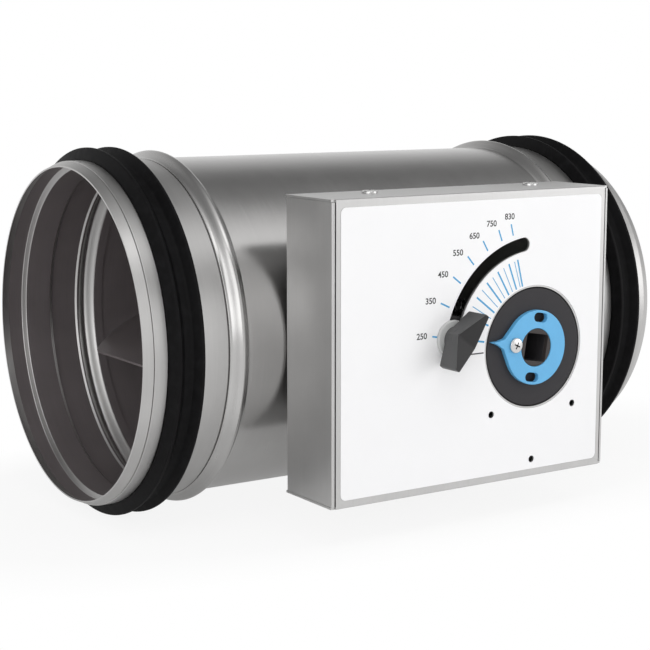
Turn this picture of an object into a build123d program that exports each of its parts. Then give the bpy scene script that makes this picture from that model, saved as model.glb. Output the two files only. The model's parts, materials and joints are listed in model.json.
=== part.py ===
from build123d import *
from math import acos, atan2, cos, degrees, hypot, pi, radians, sin, sqrt, tan
import os

# A round in-duct air volume regulator for 160 mm duct, in millimetres.
# X runs along the duct from the inlet end to the outlet end, Z is up, and the scale faces -Y.
# The origin is the middle of the duct axis.

# Duct casing
duct_radius = 79.5
duct_sheet = 0.7
box_to_bead = 16.95
bead_width = 9.6
bead_height = 3.7
tail_length = 4.0
joint_run = 5.1
joint_gap = 0.05
plain_run = 13.9
rim_width = 4.1
rim_drop = 2.1
rim_step = 0.35
lead_length = 6.4
groove_width = 12.5
groove_depth = 2.5
groove_front_run = 2.5
groove_back_run = 1.5
joggle_start = 0.9
joggle_end = 0.1

# Lip seals
lip_height = 5.8
lip_tip = 0.6
lip_inset = 0.75
lip_back_run = 3.6
valley_height = 1.7
seal_gap = 0.05
seal_foot = 0.2
lip_belly_run = 0.5
lip_belly_height = 2.4

# Scale box
box_width = 155.1
box_drop = 12.8
box_depth = 37.0
box_offset = 1.05
box_stand_off = 0.5
box_sheet = 1.0
wall_bend = 1.4
flange_bend = 0.9
plate_gap = 0.6
flange_gap = 0.1
tab_depth = 18.0
tab_inset = 7.0
label_thickness = 0.3
label_margin = 2.3
label_edge = 3.5
label_corner = 2.6
label_slot_show = 0.2

# Cover screws
cover_screw_spacing = 92.0
cover_screw_offset = 4.8
cover_screw_y = 13.5
screw_shank_radius = 1.7
screw_head_radius = 3.5
screw_head_height = 1.5
screw_length = 9.0
screw_clearance = 0.15
head_round = 0.9
recess_depth = 0.9
recess_length = 3.8
recess_width = 0.9

# Setting dial
dial_inset = 44.1
dial_z = -5.7
disc_radius = 27.3
disc_gap = 0.6
rim_show = 0.8
disc_thickness = 4.2
disc_recess = 0.3
skirt_lap = 3.7
skirt_thickness = 3.0
skirt_gap = 0.5
start_angle = 170.3
slot_radius = 48.15
slot_width = 6.3
slot_from = 98.0
slot_to = 173.0
hub_radius = 12.0
drive_square = 12.0
drive_corner = 0.8
ring_radius = 17.6
ring_thickness = 1.6
ring_bore = 8.9
shoulder_rise = 1.7
shoulder_angle = 7.0
pointer_reach = 8.6
pointer_hollow = 0.35
ring_slot_radius = 13.9
ring_slot_length = 7.8
ring_slot_width = 4.3
pointer_screw_radius = 12.7
pointer_screw_length = 5.0
ring_pocket_depth = 2.6

# Holes for a motor drive
drive_hole_radius = 1.6
drive_hole_spacing = 48.7
drive_hole_drop = 29.1
lower_hole_inset = 8.1

# Clamp and wing knob
bolt_radius = 2.5
bolt_head_radius = 6.0
bolt_head_height = 2.4
arm_width = 20.0
washer_radius = 9.95
washer_thickness = 1.9
washer_round = 0.6
washer_gap = 0.1
knob_gap = 0.1
knob_bore_gap = 0.05
knob_hub_radius = 7.0
knob_hub_length = 5.0
knob_hub_round = 1.5
knob_depth = 13.0
knob_tilt = 33.0
wing_half_length = 14.2
wing_half_middle = 4.5
wing_half_end = 1.8
wing_lift = 0.7
wing_dip = 2.3
wing_corner = 1.2
bolt_cover = 2.4

# Damper blade and shaft
shaft_inset = 26.8
shaft_radius = 4.0
shaft_clearance = 0.05
blade_gap = 1.6
blade_thickness = 1.2
blade_trim = 15.7
blade_corner = 6.0
blade_angle = 17.5
blade_travel = 62.0
blade_end_gap = 0.5
blade_screw_spacing = 42.0
bush_flange_radius = 9.0
bush_body_radius = 6.0
bush_flange = 2.8
bush_inside = 0.4
bush_gap = 0.05
clip_thickness = 0.8
clip_radius = 7.0
clip_gap = 0.2
clip_mouth = 4.4
shaft_end = 1.2

# Lever, gear segment and damping unit
thrust_thickness = 0.9
lever_thickness = 2.5
lever_hub_radius = 8.0
lever_hub_length = 7.0
lever_lift = 2.0
lever_angle = 20.0
lever_radius = 22.0
lever_half_width = 4.0
shaft_key_flat = 3.2
gear_module = 1.0
pressure_angle = 20.0
flank_shares = (0.0, 0.25, 0.5, 0.75, 1.0)
segment_teeth = 40
segment_first = -8
segment_last = 1
pinion_teeth = 12
addendum = 0.9
dedendum = 1.25
backlash = 0.34
centre_gap = 0.15
pinion_length = 4.6
pinion_gap = 0.3
pinion_stub_radius = 2.0
pinion_stub_length = 2.6
damper_radius = 10.0
damper_height = 4.4
damper_round = 0.8
damper_ear_offset = 14.2
damper_ear_radius = 3.6
damper_ear_height = 2.0
stop_distance = 16.0
stop_post_radius = 1.5
stop_buffer_radius = 2.5
stop_gap = 0.3
stop_length = 9.0

# Setting bearing and spring
bearing_flange_radius = 21.0
bearing_flange = 2.0
bearing_boss_radius = 15.0
bearing_length = 11.0
bearing_screw_radius = 18.2
bearing_screw_count = 3
bearing_screw_angle = 30.0
spring_arm_thickness = 2.0
spring_arm_ring = 16.0
spring_arm_radius = 24.0
spring_arm_angle = 135.0
spring_arm_width = 8.0
spring_level = 16.0
pin_radius = 2.0
pin_head_radius = 3.0
pin_head_height = 1.0
collar_least = 0.5
wire_radius = 0.6
coil_radius = 3.1
coil_pitch = 3.4
loop_gap = 0.3
loop_neck = 2.2
hook_radius = 0.5
coil_overrun = 25.0

# Brackets that carry the box on the duct
bracket_inset_z = 20.7
bracket_sheet = 1.5
bracket_flange = 13.0
bracket_foot_angle = 9.0
bracket_inset_x = 18.55
bracket_seat = 0.05
rivet_radius = 1.6
rivet_head_radius = 3.2
rivet_head_height = 0.8
rivet_inset = 13.0
rivet_tail = 2.2
rivet_tail_radius = 2.4
foot_rivet_share = 0.55

# How far a cut runs past the sheet or the face that it goes through
spare = 1.0
through = 6.0

# Places worked out from the sizes above
box_back = -duct_radius - box_stand_off
box_front = box_back - box_depth
box_left = box_offset - box_width / 2
box_right = box_offset + box_width / 2
half_height = duct_radius - box_drop
shaft_x = box_left + shaft_inset
dial_x = box_right - dial_inset
bead_centre = box_width / 2 + box_to_bead + bead_width / 2
joint_x = bead_centre + joint_run
groove_end = joint_x + plain_run
groove_start = groove_end + groove_back_run + groove_width + groove_front_run
half_length = groove_start + lead_length + rim_width
floor_y = box_back - box_sheet
cover_inside = box_front + box_sheet
plate_left = box_left + wall_bend + plate_gap
plate_right = box_right - wall_bend - plate_gap
label_front = box_front - label_thickness
disc_front = label_front + disc_recess
disc_back = disc_front + disc_thickness
arm_front = cover_inside + skirt_gap
arm_back = arm_front + skirt_thickness
ring_front = disc_front - ring_thickness
groove_floor = duct_radius - groove_depth
blade_radius = duct_radius - duct_sheet - blade_gap
blade_cut = blade_radius - blade_trim
bracket_z = half_height - bracket_inset_z
bracket_length = box_width - 2 * bracket_inset_x
rivet_spacing = bracket_length - 2 * rivet_inset
skirt_radius = disc_radius + skirt_lap
shoulder_radius = ring_radius + shoulder_rise
pointer_radius = ring_radius + pointer_reach
drive_hole_z = dial_z - drive_hole_drop
lower_hole_z = lower_hole_inset - half_height
bush_face = duct_radius + bush_flange
lever_hub_back = -bush_face - clip_gap - thrust_thickness - clip_gap
lever_back = lever_hub_back - lever_lift
segment_radius = gear_module * segment_teeth / 2
pinion_radius = gear_module * pinion_teeth / 2
pinion_z = -segment_radius - pinion_radius - centre_gap
damper_front = floor_y - damper_height
bearing_front = floor_y - bearing_length
hub_back = floor_y - bearing_flange - clip_gap
spring_y = floor_y - spring_level
bolt_x = dial_x + slot_radius * cos(radians(start_angle))
bolt_z = dial_z + slot_radius * sin(radians(start_angle))
washer_back = label_front - washer_gap
washer_front = washer_back - washer_thickness
knob_back = washer_front - knob_gap
knob_front = knob_back - knob_depth


def facing(y, x=0.0, z=0.0):
    """A drawing plane at depth y that is seen from the front, with X to the right and Z up."""
    return Plane(origin=(x, y, z), x_dir=(1, 0, 0), z_dir=(0, -1, 0))


def rod(x, z, radius, back, front):
    """A cylinder along Y from back to front."""
    return extrude(facing(back) * Pos(x, z) * Circle(radius), amount=back - front)


def outline_face(pieces):
    """A flat face inside a closed chain of lines and arcs."""
    edges = [edge for piece in pieces for edge in piece.edges()]
    return Face(Wire(edges))


def at_angle(radius, angle, x=0.0, z=0.0):
    """The point at a radius and an angle, counted from +X towards +Z, about (x, z)."""
    return (x + radius * cos(radians(angle)), z + radius * sin(radians(angle)))


def cross_recess(plane):
    """The cross-shaped driver recess of a screw head, cut down from a plane."""
    bar = Rectangle(recess_length, recess_width)
    return extrude(plane * (bar + Rot(0, 0, 90) * bar), amount=-recess_depth)


def pan_screw(plane, head_radius, head_height, shank_radius, length):
    """A pan-head screw whose head sits on the plane and whose shank goes behind it."""
    head = extrude(plane * Circle(head_radius), amount=head_height)
    rim = head.edges().sort_by(lambda e: (e.center() - plane.origin).dot(plane.z_dir))[-1]
    head = fillet(rim, head_round)
    shank = extrude(plane * Circle(shank_radius), amount=-length)
    top = Plane(plane.origin + plane.z_dir * head_height, x_dir=plane.x_dir, z_dir=plane.z_dir)
    return head + shank - cross_recess(top)


def bead_curve(radius):
    """The raised stop bead at a given sheet radius, as a smooth curve along the outlet end."""
    quarter = bead_width / 4
    points = [
        (bead_centre + 2 * quarter, 0, radius),
        (bead_centre + quarter, 0, radius + bead_height / 2),
        (bead_centre, 0, radius + bead_height),
        (bead_centre - quarter, 0, radius + bead_height / 2),
        (bead_centre - 2 * quarter, 0, radius),
    ]
    return Spline(*points, tangents=[(-1, 0, 0), (-1, 0, 0)])


def sheet_ring(before, radius, after):
    """A turned sheet ring whose skin has the bead, between straight runs before and after it."""
    edges = []
    for level in (radius, radius - duct_sheet):
        drop = radius - level
        start = [(x, 0, r - drop) for x, r in before]
        end = [(x, 0, r - drop) for x, r in after]
        curve = bead_curve(level)
        edges.append((start, curve, end))
    lines = []
    for start, curve, end in edges:
        lines.append(Polyline(*start, curve @ 0))
        lines.append(curve)
        lines.append(Polyline(curve @ 1, *end))
    lines.append(Line(edges[0][0][0], edges[1][0][0]))
    lines.append(Line(edges[0][2][-1], edges[1][2][-1]))
    return revolve(outline_face(lines), axis=Axis.X, revolution_arc=360)


def casing_tube():
    """The main duct, with a stop bead at each end and the holes of the shaft and brackets."""
    half = sheet_ring([(joint_x, duct_radius)], duct_radius, [(0, duct_radius)])
    tube = half + mirror(half, about=Plane.YZ)
    tube -= rod(shaft_x, 0, bush_body_radius + bush_gap, duct_radius + spare, -duct_radius - spare)
    for x, side in rivet_places():
        tube -= extrude(foot_plane(x, side) * Circle(rivet_radius), amount=through, both=True)
    return tube


def spigot():
    """The outlet spigot: rolled rim, lead, seal groove, and a beaded tail inside the casing."""
    inner = duct_radius - duct_sheet - joint_gap
    before = [
        (half_length, duct_radius - rim_drop),
        (half_length - rim_width, duct_radius - rim_step),
        (half_length - rim_width - rim_step, duct_radius),
        (groove_start, duct_radius),
        (groove_start - groove_front_run, groove_floor),
        (groove_end + groove_back_run, groove_floor),
        (groove_end, duct_radius),
        (joint_x + joggle_start, duct_radius),
        (joint_x + joggle_end, inner),
    ]
    tail_end = bead_centre - bead_width / 2 - tail_length
    body = sheet_ring(before, inner, [(tail_end, inner)])
    return body


def lip_seal():
    """The two-lip rubber ring that fills the groove of the outlet spigot."""
    outer = duct_radius + seal_gap
    floor = groove_floor + seal_gap
    crest = duct_radius + lip_height
    front_tip = groove_start - groove_front_run - lip_inset
    back_tip = groove_end + groove_back_run + lip_tip
    valley = duct_radius + valley_height
    foot_front = groove_start - seal_foot
    foot_back = groove_end + seal_foot
    profile = [
        Line((foot_front, 0, outer), (groove_start - groove_front_run, 0, floor)),
        Line((groove_start - groove_front_run, 0, floor), (groove_end + groove_back_run, 0, floor)),
        Line((groove_end + groove_back_run, 0, floor), (foot_back, 0, outer)),
        Line((foot_back, 0, outer), (back_tip - lip_tip, 0, crest - lip_tip)),
        ThreePointArc(
            (back_tip - lip_tip, 0, crest - lip_tip),
            (back_tip, 0, crest),
            (back_tip + lip_tip, 0, crest - lip_tip),
        ),
        Line((back_tip + lip_tip, 0, crest - lip_tip), (back_tip + lip_back_run, 0, valley)),
        Line((back_tip + lip_back_run, 0, valley), (front_tip - lip_back_run, 0, valley)),
        Line((front_tip - lip_back_run, 0, valley), (front_tip - lip_tip, 0, crest - lip_tip)),
        ThreePointArc(
            (front_tip - lip_tip, 0, crest - lip_tip),
            (front_tip, 0, crest),
            (front_tip + lip_tip, 0, crest - lip_tip),
        ),
        ThreePointArc(
            (front_tip + lip_tip, 0, crest - lip_tip),
            (front_tip + lip_tip + lip_belly_run, 0, outer + lip_belly_height),
            (foot_front, 0, outer),
        ),
    ]
    return revolve(outline_face(profile), axis=Axis.X, revolution_arc=360)


def screw_places():
    """The x places of the cover screws, the same above and below."""
    return [cover_screw_offset - cover_screw_spacing / 2, cover_screw_offset + cover_screw_spacing / 2]


def top_plane(x, y, level, side):
    """A plane that faces up or down, away from the box, for the cover screws."""
    return Plane(origin=(x, y, side * level), x_dir=(1, 0, 0), z_dir=(0, 0, side))


def box_block(left, right, back, front, low, high):
    """A plain block between six faces."""
    size = (right - left, back - front, high - low)
    centre = ((left + right) / 2, (back + front) / 2, (low + high) / 2)
    return Pos(*centre) * Box(*size)


def box_base():
    """The folded base: back plate, side walls with rolled front edges, and two screw tabs."""
    top = half_height - box_sheet - flange_gap
    shell = box_block(box_left, box_right, box_back, box_front, -top, top)
    shell = fillet(shell.edges().filter_by(Axis.Z), wall_bend)
    over = top + spare
    inner = box_block(box_left + box_sheet, box_right - box_sheet, floor_y, cover_inside, -over, over)
    shell -= fillet(inner.edges().filter_by(Axis.Z), wall_bend - box_sheet)
    shell -= box_block(box_left + wall_bend, box_right - wall_bend, floor_y, box_front - spare, -over, over)
    for side in (-1, 1):
        low, high = sorted((side * top, side * (top - box_sheet)))
        left, right = box_left + tab_inset, box_right - tab_inset
        shell += box_block(left, right, box_back, box_back - tab_depth, low, high)
        for x in screw_places():
            plane = top_plane(x, box_back - cover_screw_y, half_height, side)
            shell -= extrude(plane * Circle(screw_shank_radius), amount=-through)
    shell -= rod(shaft_x, 0, bush_flange_radius + screw_clearance, box_back + spare, floor_y - spare)
    for x, side in rivet_places():
        shell -= rod(x, side * plate_rivet_z(), rivet_radius, box_back + spare, floor_y - spare)
    return shell


def front_cuts(extra_disc, extra_slot):
    """The openings of the scale face: dial, arc slot and the three drive holes."""
    plane = facing(cover_inside + spare)
    disc = Pos(dial_x, dial_z) * Circle(disc_radius + disc_gap + extra_disc)
    arc = CenterArc((dial_x, dial_z), slot_radius, slot_from, slot_to - slot_from)
    slot = SlotArc(arc, slot_width + 2 * extra_slot)
    cuts = disc + slot
    for x in (dial_x - drive_hole_spacing / 2, dial_x + drive_hole_spacing / 2):
        cuts += Pos(x, drive_hole_z) * Circle(drive_hole_radius)
    cuts += Pos(dial_x, lower_hole_z) * Circle(drive_hole_radius)
    return extrude(plane * cuts, amount=through)


def box_cover():
    """The U-shaped cover: scale face with an upper and a lower flange over the base."""
    cover = box_block(plate_left, plate_right, box_back, box_front, -half_height, half_height)
    cover = fillet(cover.edges().filter_by(Axis.X).sort_by(Axis.Y)[:2], flange_bend)
    inside = half_height - box_sheet
    cover -= box_block(
        plate_left - spare, plate_right + spare, box_back + spare, cover_inside, -inside, inside
    )
    for side in (-1, 1):
        low, high = sorted((side * inside, side * half_height))
        cover += box_block(box_left, box_right, box_back, box_front + flange_bend, low, high)
        for x in screw_places():
            plane = top_plane(x, box_back - cover_screw_y, half_height, side)
            cover -= extrude(plane * Circle(screw_shank_radius + screw_clearance), amount=-through)
    return cover - front_cuts(0, 0)


def scale_label():
    """The scale foil on the face of the cover."""
    width = plate_right - plate_left - 2 * label_margin
    height = 2 * (half_height - label_edge)
    sheet = RectangleRounded(width, height, label_corner)
    middle = (plate_left + plate_right) / 2
    label = extrude(facing(box_front) * Pos(middle, 0) * sheet, amount=label_thickness)
    return label - front_cuts(rim_show, label_slot_show)


def cover_screws():
    """The four screws that hold the cover's flanges to the base's tabs."""
    screws = []
    for side in (1, -1):
        for x in screw_places():
            plane = top_plane(x, box_back - cover_screw_y, half_height, side)
            screws.append(
                pan_screw(plane, screw_head_radius, screw_head_height, screw_shank_radius, screw_length)
            )
    return Compound(children=screws)


def foot_angle():
    """Where the middle of a bracket's foot lies round the duct, counted from -Y."""
    start = degrees(atan2(bracket_z, sqrt(duct_radius ** 2 - bracket_z ** 2)))
    return start + bracket_foot_angle * foot_rivet_share


def rivet_places():
    """The x place and the side, up or down, of each rivet of the brackets."""
    middle = box_offset
    return [(middle + step * rivet_spacing / 2, side) for step in (-1, 1) for side in (-1, 1)]


def plate_rivet_z():
    """The height of the rivets through the box's back plate."""
    return bracket_z + bracket_flange / 2


def foot_plane(x, side):
    """A plane on the duct's skin that faces away from the duct axis, at a bracket's foot."""
    angle = radians(foot_angle())
    way = Vector(0, -cos(angle), side * sin(angle))
    level = duct_radius + bracket_seat + bracket_sheet
    return Plane(origin=Vector(x, 0, 0) + way * level, x_dir=(1, 0, 0), z_dir=way)


def bracket(side):
    """One Z-shaped bracket between the duct and the back of the box."""
    inner = duct_radius + bracket_seat
    outer = inner + bracket_sheet
    start = degrees(atan2(bracket_z, sqrt(inner ** 2 - bracket_z ** 2)))
    foot = Circle(outer) - Circle(inner)
    reach = 2 * outer
    first = radians(180 - start)
    last = radians(180 - start - bracket_foot_angle)
    wedge = Polyline(
        (0, 0),
        (reach * cos(first), reach * sin(first)),
        (reach * cos(last), reach * sin(last)),
        close=True,
    )
    foot = foot & make_face(wedge)
    leg_back = -sqrt(inner ** 2 - bracket_z ** 2)
    leg = Pos((leg_back + box_back) / 2, bracket_z) * Rectangle(
        leg_back - box_back, bracket_sheet, align=(Align.CENTER, Align.MIN)
    )
    flange = Pos(box_back, bracket_z) * Rectangle(
        bracket_sheet, bracket_flange, align=(Align.MIN, Align.MIN)
    )
    profile = foot + leg + flange
    solid = extrude(Plane.YZ.offset(box_offset - bracket_length / 2) * profile, amount=bracket_length)
    if side < 0:
        solid = mirror(solid, about=Plane.XY)
    for x, way in rivet_places():
        if way == side:
            solid -= extrude(foot_plane(x, side) * Circle(rivet_radius), amount=through, both=True)
            back = box_back + bracket_sheet + spare
            solid -= rod(x, side * plate_rivet_z(), rivet_radius, back, box_back - spare)
    return solid


def rivet(plane, grip):
    """A blind rivet whose head sits on the plane and whose tail swells behind the sheets."""
    head = extrude(plane * Circle(rivet_head_radius), amount=rivet_head_height)
    stem = extrude(plane * Circle(rivet_radius), amount=-grip)
    behind = Plane(plane.origin - plane.z_dir * grip, x_dir=plane.x_dir, z_dir=plane.z_dir)
    tail = extrude(behind * Circle(rivet_tail_radius), amount=-rivet_tail)
    return head + stem + tail


def bracket_rivets():
    """The rivets of both brackets, in the back plate and in the duct."""
    rivets = []
    for x, side in rivet_places():
        rivets.append(rivet(facing(floor_y, x, side * plate_rivet_z()), box_sheet + bracket_sheet))
        rivets.append(rivet(foot_plane(x, side), bracket_sheet + 2 * bracket_seat + duct_sheet))
    return Compound(children=rivets)


def shaft_bush(side):
    """A flanged plastic bush seated on the duct's skin, at the front (-1) or the rear (+1)."""
    face = side * bush_face
    inner = side * (duct_radius - duct_sheet - bush_inside)
    back, front = max(face, inner), min(face, inner)
    flange = rod(shaft_x, 0, bush_flange_radius, back, front)
    flange -= Rot(0, 90, 0) * Cylinder(duct_radius + bush_gap, 2 * half_length)
    body = rod(shaft_x, 0, bush_body_radius, back, front)
    bore = rod(shaft_x, 0, shaft_radius + shaft_clearance, back + spare, front - spare)
    return flange + body - bore


def blade_plane(level=0.0):
    """The drawing plane of the blade, through the shaft, leaning with the inlet edge low."""
    lean = radians(blade_angle)
    way = Vector(-sin(lean), 0, cos(lean))
    origin = Vector(shaft_x, 0, 0) + way * level
    return Plane(origin=origin, x_dir=(cos(lean), 0, sin(lean)), z_dir=way)


def damper_blade():
    """The round blade with a straight leading edge, screwed to the flat of the shaft."""
    far = 2 * blade_radius
    outline = Circle(blade_radius) & (Pos(far - blade_cut, 0) * Rectangle(2 * far, 2 * far))
    corners = outline.vertices().sort_by(Axis.X)[:2]
    outline = fillet(corners, blade_corner)
    blade = extrude(blade_plane() * outline, amount=blade_thickness)
    for plane in blade_screw_planes():
        blade -= extrude(plane * Circle(screw_shank_radius), amount=through, both=True)
    return blade


def blade_screw_planes():
    """The planes of the blade screws on the blade's upper face."""
    top = blade_plane(blade_thickness)
    return [top.shift_origin(top.origin + Vector(0, step * blade_screw_spacing, 0)) for step in (-1, 0, 1)]


def shaft_front():
    """Where the shaft ends inside the box."""
    return lever_hub_back - lever_hub_length - shaft_end


def shaft_rear():
    """Where the shaft ends behind the duct."""
    return bush_face + 2 * clip_gap + clip_thickness + shaft_end


def blade_shaft():
    """The round shaft, flat where the blade lies on it and at the lever."""
    shaft = rod(shaft_x, 0, shaft_radius, shaft_rear(), shaft_front())
    length = 2 * (blade_radius + blade_end_gap)
    seat = extrude(blade_plane() * Rectangle(4 * shaft_radius, length), amount=2 * shaft_radius)
    shaft -= seat
    flat = blade_plane(shaft_key_flat)
    flat = flat.shift_origin(flat.origin + Vector(0, (shaft_front() + lever_hub_back) / 2, 0))
    length = lever_hub_back - shaft_front()
    shaft -= extrude(flat * Rectangle(4 * shaft_radius, length), amount=shaft_radius)
    for plane in blade_screw_planes():
        shaft -= extrude(plane * Circle(screw_shank_radius), amount=-2 * shaft_radius - through)
    return shaft


def blade_screws():
    """Three pan-head screws that clamp the blade to the shaft."""
    length = blade_thickness + shaft_radius
    screws = [
        pan_screw(plane, screw_head_radius, screw_head_height, screw_shank_radius, length)
        for plane in blade_screw_planes()
    ]
    return Compound(children=screws)


def ring_washer(back, front, radius, bore):
    """A flat ring on the blade shaft's axis."""
    return rod(shaft_x, 0, radius, back, front) - rod(shaft_x, 0, bore, back + spare, front - spare)


def thrust_washer():
    """The washer between the front bush and the lever's hub."""
    back = -bush_face - clip_gap
    return ring_washer(back, back - thrust_thickness, clip_radius, shaft_radius)


def shaft_clip():
    """The spring clip that keeps the shaft in at the rear bush, with its mouth open below."""
    front = bush_face + clip_gap
    clip = ring_washer(front + clip_thickness, front, clip_radius, shaft_radius)
    half = clip_mouth / 2
    left, right = shaft_x - half, shaft_x + half
    return clip - box_block(left, right, front + clip_thickness, front, -clip_radius - spare, 0)


def involute(angle):
    """The involute function of a pressure angle in radians."""
    return tan(angle) - angle


def tooth_points(teeth, centre):
    """One gear tooth's outline, from its root up one flank and down the other."""
    pressure = radians(pressure_angle)
    pitch = gear_module * teeth / 2
    base = pitch * cos(pressure)
    root = pitch - dedendum * gear_module
    tip = pitch + addendum * gear_module
    half = pi / (2 * teeth) - backlash / (4 * pitch)
    flank = []
    for share in flank_shares:
        radius = root + (tip - root) * share
        turn = acos(min(1.0, base / radius))
        flank.append((radius, half + involute(pressure) - involute(turn)))
    rising = [(r, centre - a) for r, a in flank]
    falling = [(r, centre + a) for r, a in reversed(flank)]
    return [(r * cos(a), r * sin(a)) for r, a in rising + falling]


def gear_face(teeth, first, last, start, hub):
    """The toothed outline from the first to the last tooth, closed through the centre or a hub."""
    points = []
    for number in range(first, last + 1):
        points += tooth_points(teeth, start + number * 2 * pi / teeth)
    if last - first + 1 < teeth:
        points.append((0, 0))
        return make_face(Polyline(*points, close=True)) + Circle(hub)
    return make_face(Polyline(*points, close=True))


def on_lever(radius, side=0.0):
    """A point of the lever's arm at a distance from the shaft and to one side, as (x, z)."""
    turn = radians(lever_angle)
    x = shaft_x + radius * sin(turn) + side * cos(turn)
    z = radius * cos(turn) - side * sin(turn)
    return (x, z)


def shaft_lever():
    """The lever on the shaft: hub, spring arm upward and gear segment downward."""
    plane = facing(lever_back, shaft_x, 0)
    arm = Rot(0, 0, -lever_angle) * Pos(0, lever_radius / 2) * Rectangle(2 * lever_half_width, lever_radius)
    end = Rot(0, 0, -lever_angle) * Pos(0, lever_radius) * Circle(lever_half_width)
    segment = gear_face(segment_teeth, segment_first, segment_last, -pi / 2, lever_hub_radius)
    lever = extrude(plane * (arm + end + segment), amount=lever_thickness)
    hub = rod(shaft_x, 0, lever_hub_radius, lever_hub_back, lever_hub_back - lever_hub_length)
    pin_x, pin_z = on_lever(lever_radius)
    hole = rod(pin_x, pin_z, pin_radius, lever_back + spare, lever_back - lever_thickness - spare)
    return lever + hub - hole - blade_shaft()


def spring_pin(x, z, back, base_front):
    """A headed pin that the spring's loop hangs on, seated in a plate from back to base_front."""
    front = spring_y - wire_radius - loop_gap
    pin = rod(x, z, pin_radius, back, front)
    pin += rod(x, z, pin_head_radius, front, front - pin_head_height)
    collar = spring_y + wire_radius + loop_gap
    if base_front - collar > collar_least:
        pin += rod(x, z, pin_head_radius, base_front, collar)
    return pin


def lever_pin():
    """The spring pin of the shaft lever."""
    x, z = on_lever(lever_radius)
    return spring_pin(x, z, lever_back, lever_back - lever_thickness)


def damping_unit():
    """The oil-filled damping unit on the base, with two ears and a bore for its rotor."""
    body = rod(shaft_x, pinion_z, damper_radius, floor_y, damper_front)
    rim = body.edges().sort_by(Axis.Y)[0]
    body = fillet(rim, damper_round)
    for side in (-1, 1):
        x = shaft_x + side * damper_ear_offset
        body += rod(x, pinion_z, damper_ear_radius, floor_y, floor_y - damper_ear_height)
        link = box_block(
            min(x, shaft_x), max(x, shaft_x), floor_y, floor_y - damper_ear_height,
            pinion_z - damper_ear_radius, pinion_z + damper_ear_radius,
        )
        body += link
    for x in damper_screw_places():
        body -= rod(x, pinion_z, screw_shank_radius, floor_y + spare, floor_y - damper_ear_height - spare)
    bore_end = damper_front + pinion_stub_length + pinion_gap
    bore_radius = pinion_stub_radius + shaft_clearance
    return body - rod(shaft_x, pinion_z, bore_radius, bore_end, damper_front - spare)


def damper_screw_places():
    """The x places of the damping unit's two screws."""
    return [shaft_x - damper_ear_offset, shaft_x + damper_ear_offset]


def damper_screws():
    """The two screws of the damping unit."""
    front = floor_y - damper_ear_height
    screws = [
        pan_screw(facing(front, x, pinion_z), screw_head_radius, screw_head_height,
                  screw_shank_radius, damper_ear_height)
        for x in damper_screw_places()
    ]
    return Compound(children=screws)


def damper_pinion():
    """The pinion that the gear segment turns, with its rotor stub in the damping unit."""
    back = damper_front - pinion_gap
    face = gear_face(pinion_teeth, 0, pinion_teeth - 1, pi / 2 + pi / pinion_teeth, 0)
    gear = extrude(facing(back, shaft_x, pinion_z) * face, amount=pinion_length)
    stub_end = damper_front + pinion_stub_length
    return gear + rod(shaft_x, pinion_z, pinion_stub_radius, stub_end, back - pinion_length)


def stop_places():
    """Where the open stop and the closed stop stand beside the lever's arm."""
    places = []
    for turn, side in ((lever_angle, 1), (lever_angle - blade_travel, -1)):
        angle = radians(turn)
        out = side * (lever_half_width + stop_gap + stop_buffer_radius)
        x = shaft_x + stop_distance * sin(angle) + out * cos(angle)
        z = stop_distance * cos(angle) - out * sin(angle)
        places.append((x, z))
    return places


def stop_posts():
    """The two steel posts that limit the lever."""
    posts = [rod(x, z, stop_post_radius, floor_y, floor_y - stop_length) for x, z in stop_places()]
    return Compound(children=posts)


def stop_buffers():
    """The rubber sleeves on the two stop posts."""
    sleeves = []
    for x, z in stop_places():
        sleeve = rod(x, z, stop_buffer_radius, floor_y, floor_y - stop_length)
        bore = rod(x, z, stop_post_radius, floor_y + spare, floor_y - stop_length - spare)
        sleeves.append(sleeve - bore)
    return Compound(children=sleeves)


def bearing_screw_places():
    """The places of the three screws in the bearing's flange."""
    step = 360 / bearing_screw_count
    return [
        at_angle(bearing_screw_radius, bearing_screw_angle + step * number, dial_x, dial_z)
        for number in range(bearing_screw_count)
    ]


def setting_bearing():
    """The flanged bearing on the base that the setting hub turns in."""
    front = floor_y - bearing_flange
    bearing = rod(dial_x, dial_z, bearing_flange_radius, floor_y, front)
    bearing += rod(dial_x, dial_z, bearing_boss_radius, floor_y, bearing_front)
    bearing -= rod(dial_x, dial_z, hub_radius + shaft_clearance, front, bearing_front - spare)
    for x, z in bearing_screw_places():
        bearing -= rod(x, z, screw_shank_radius, floor_y + spare, front - spare)
    return bearing


def bearing_screws():
    """The screws of the setting bearing."""
    front = floor_y - bearing_flange
    head = bearing_flange_radius - bearing_screw_radius
    screws = [
        pan_screw(facing(front, x, z), head, screw_head_height, screw_shank_radius, bearing_flange)
        for x, z in bearing_screw_places()
    ]
    return Compound(children=screws)


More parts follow.
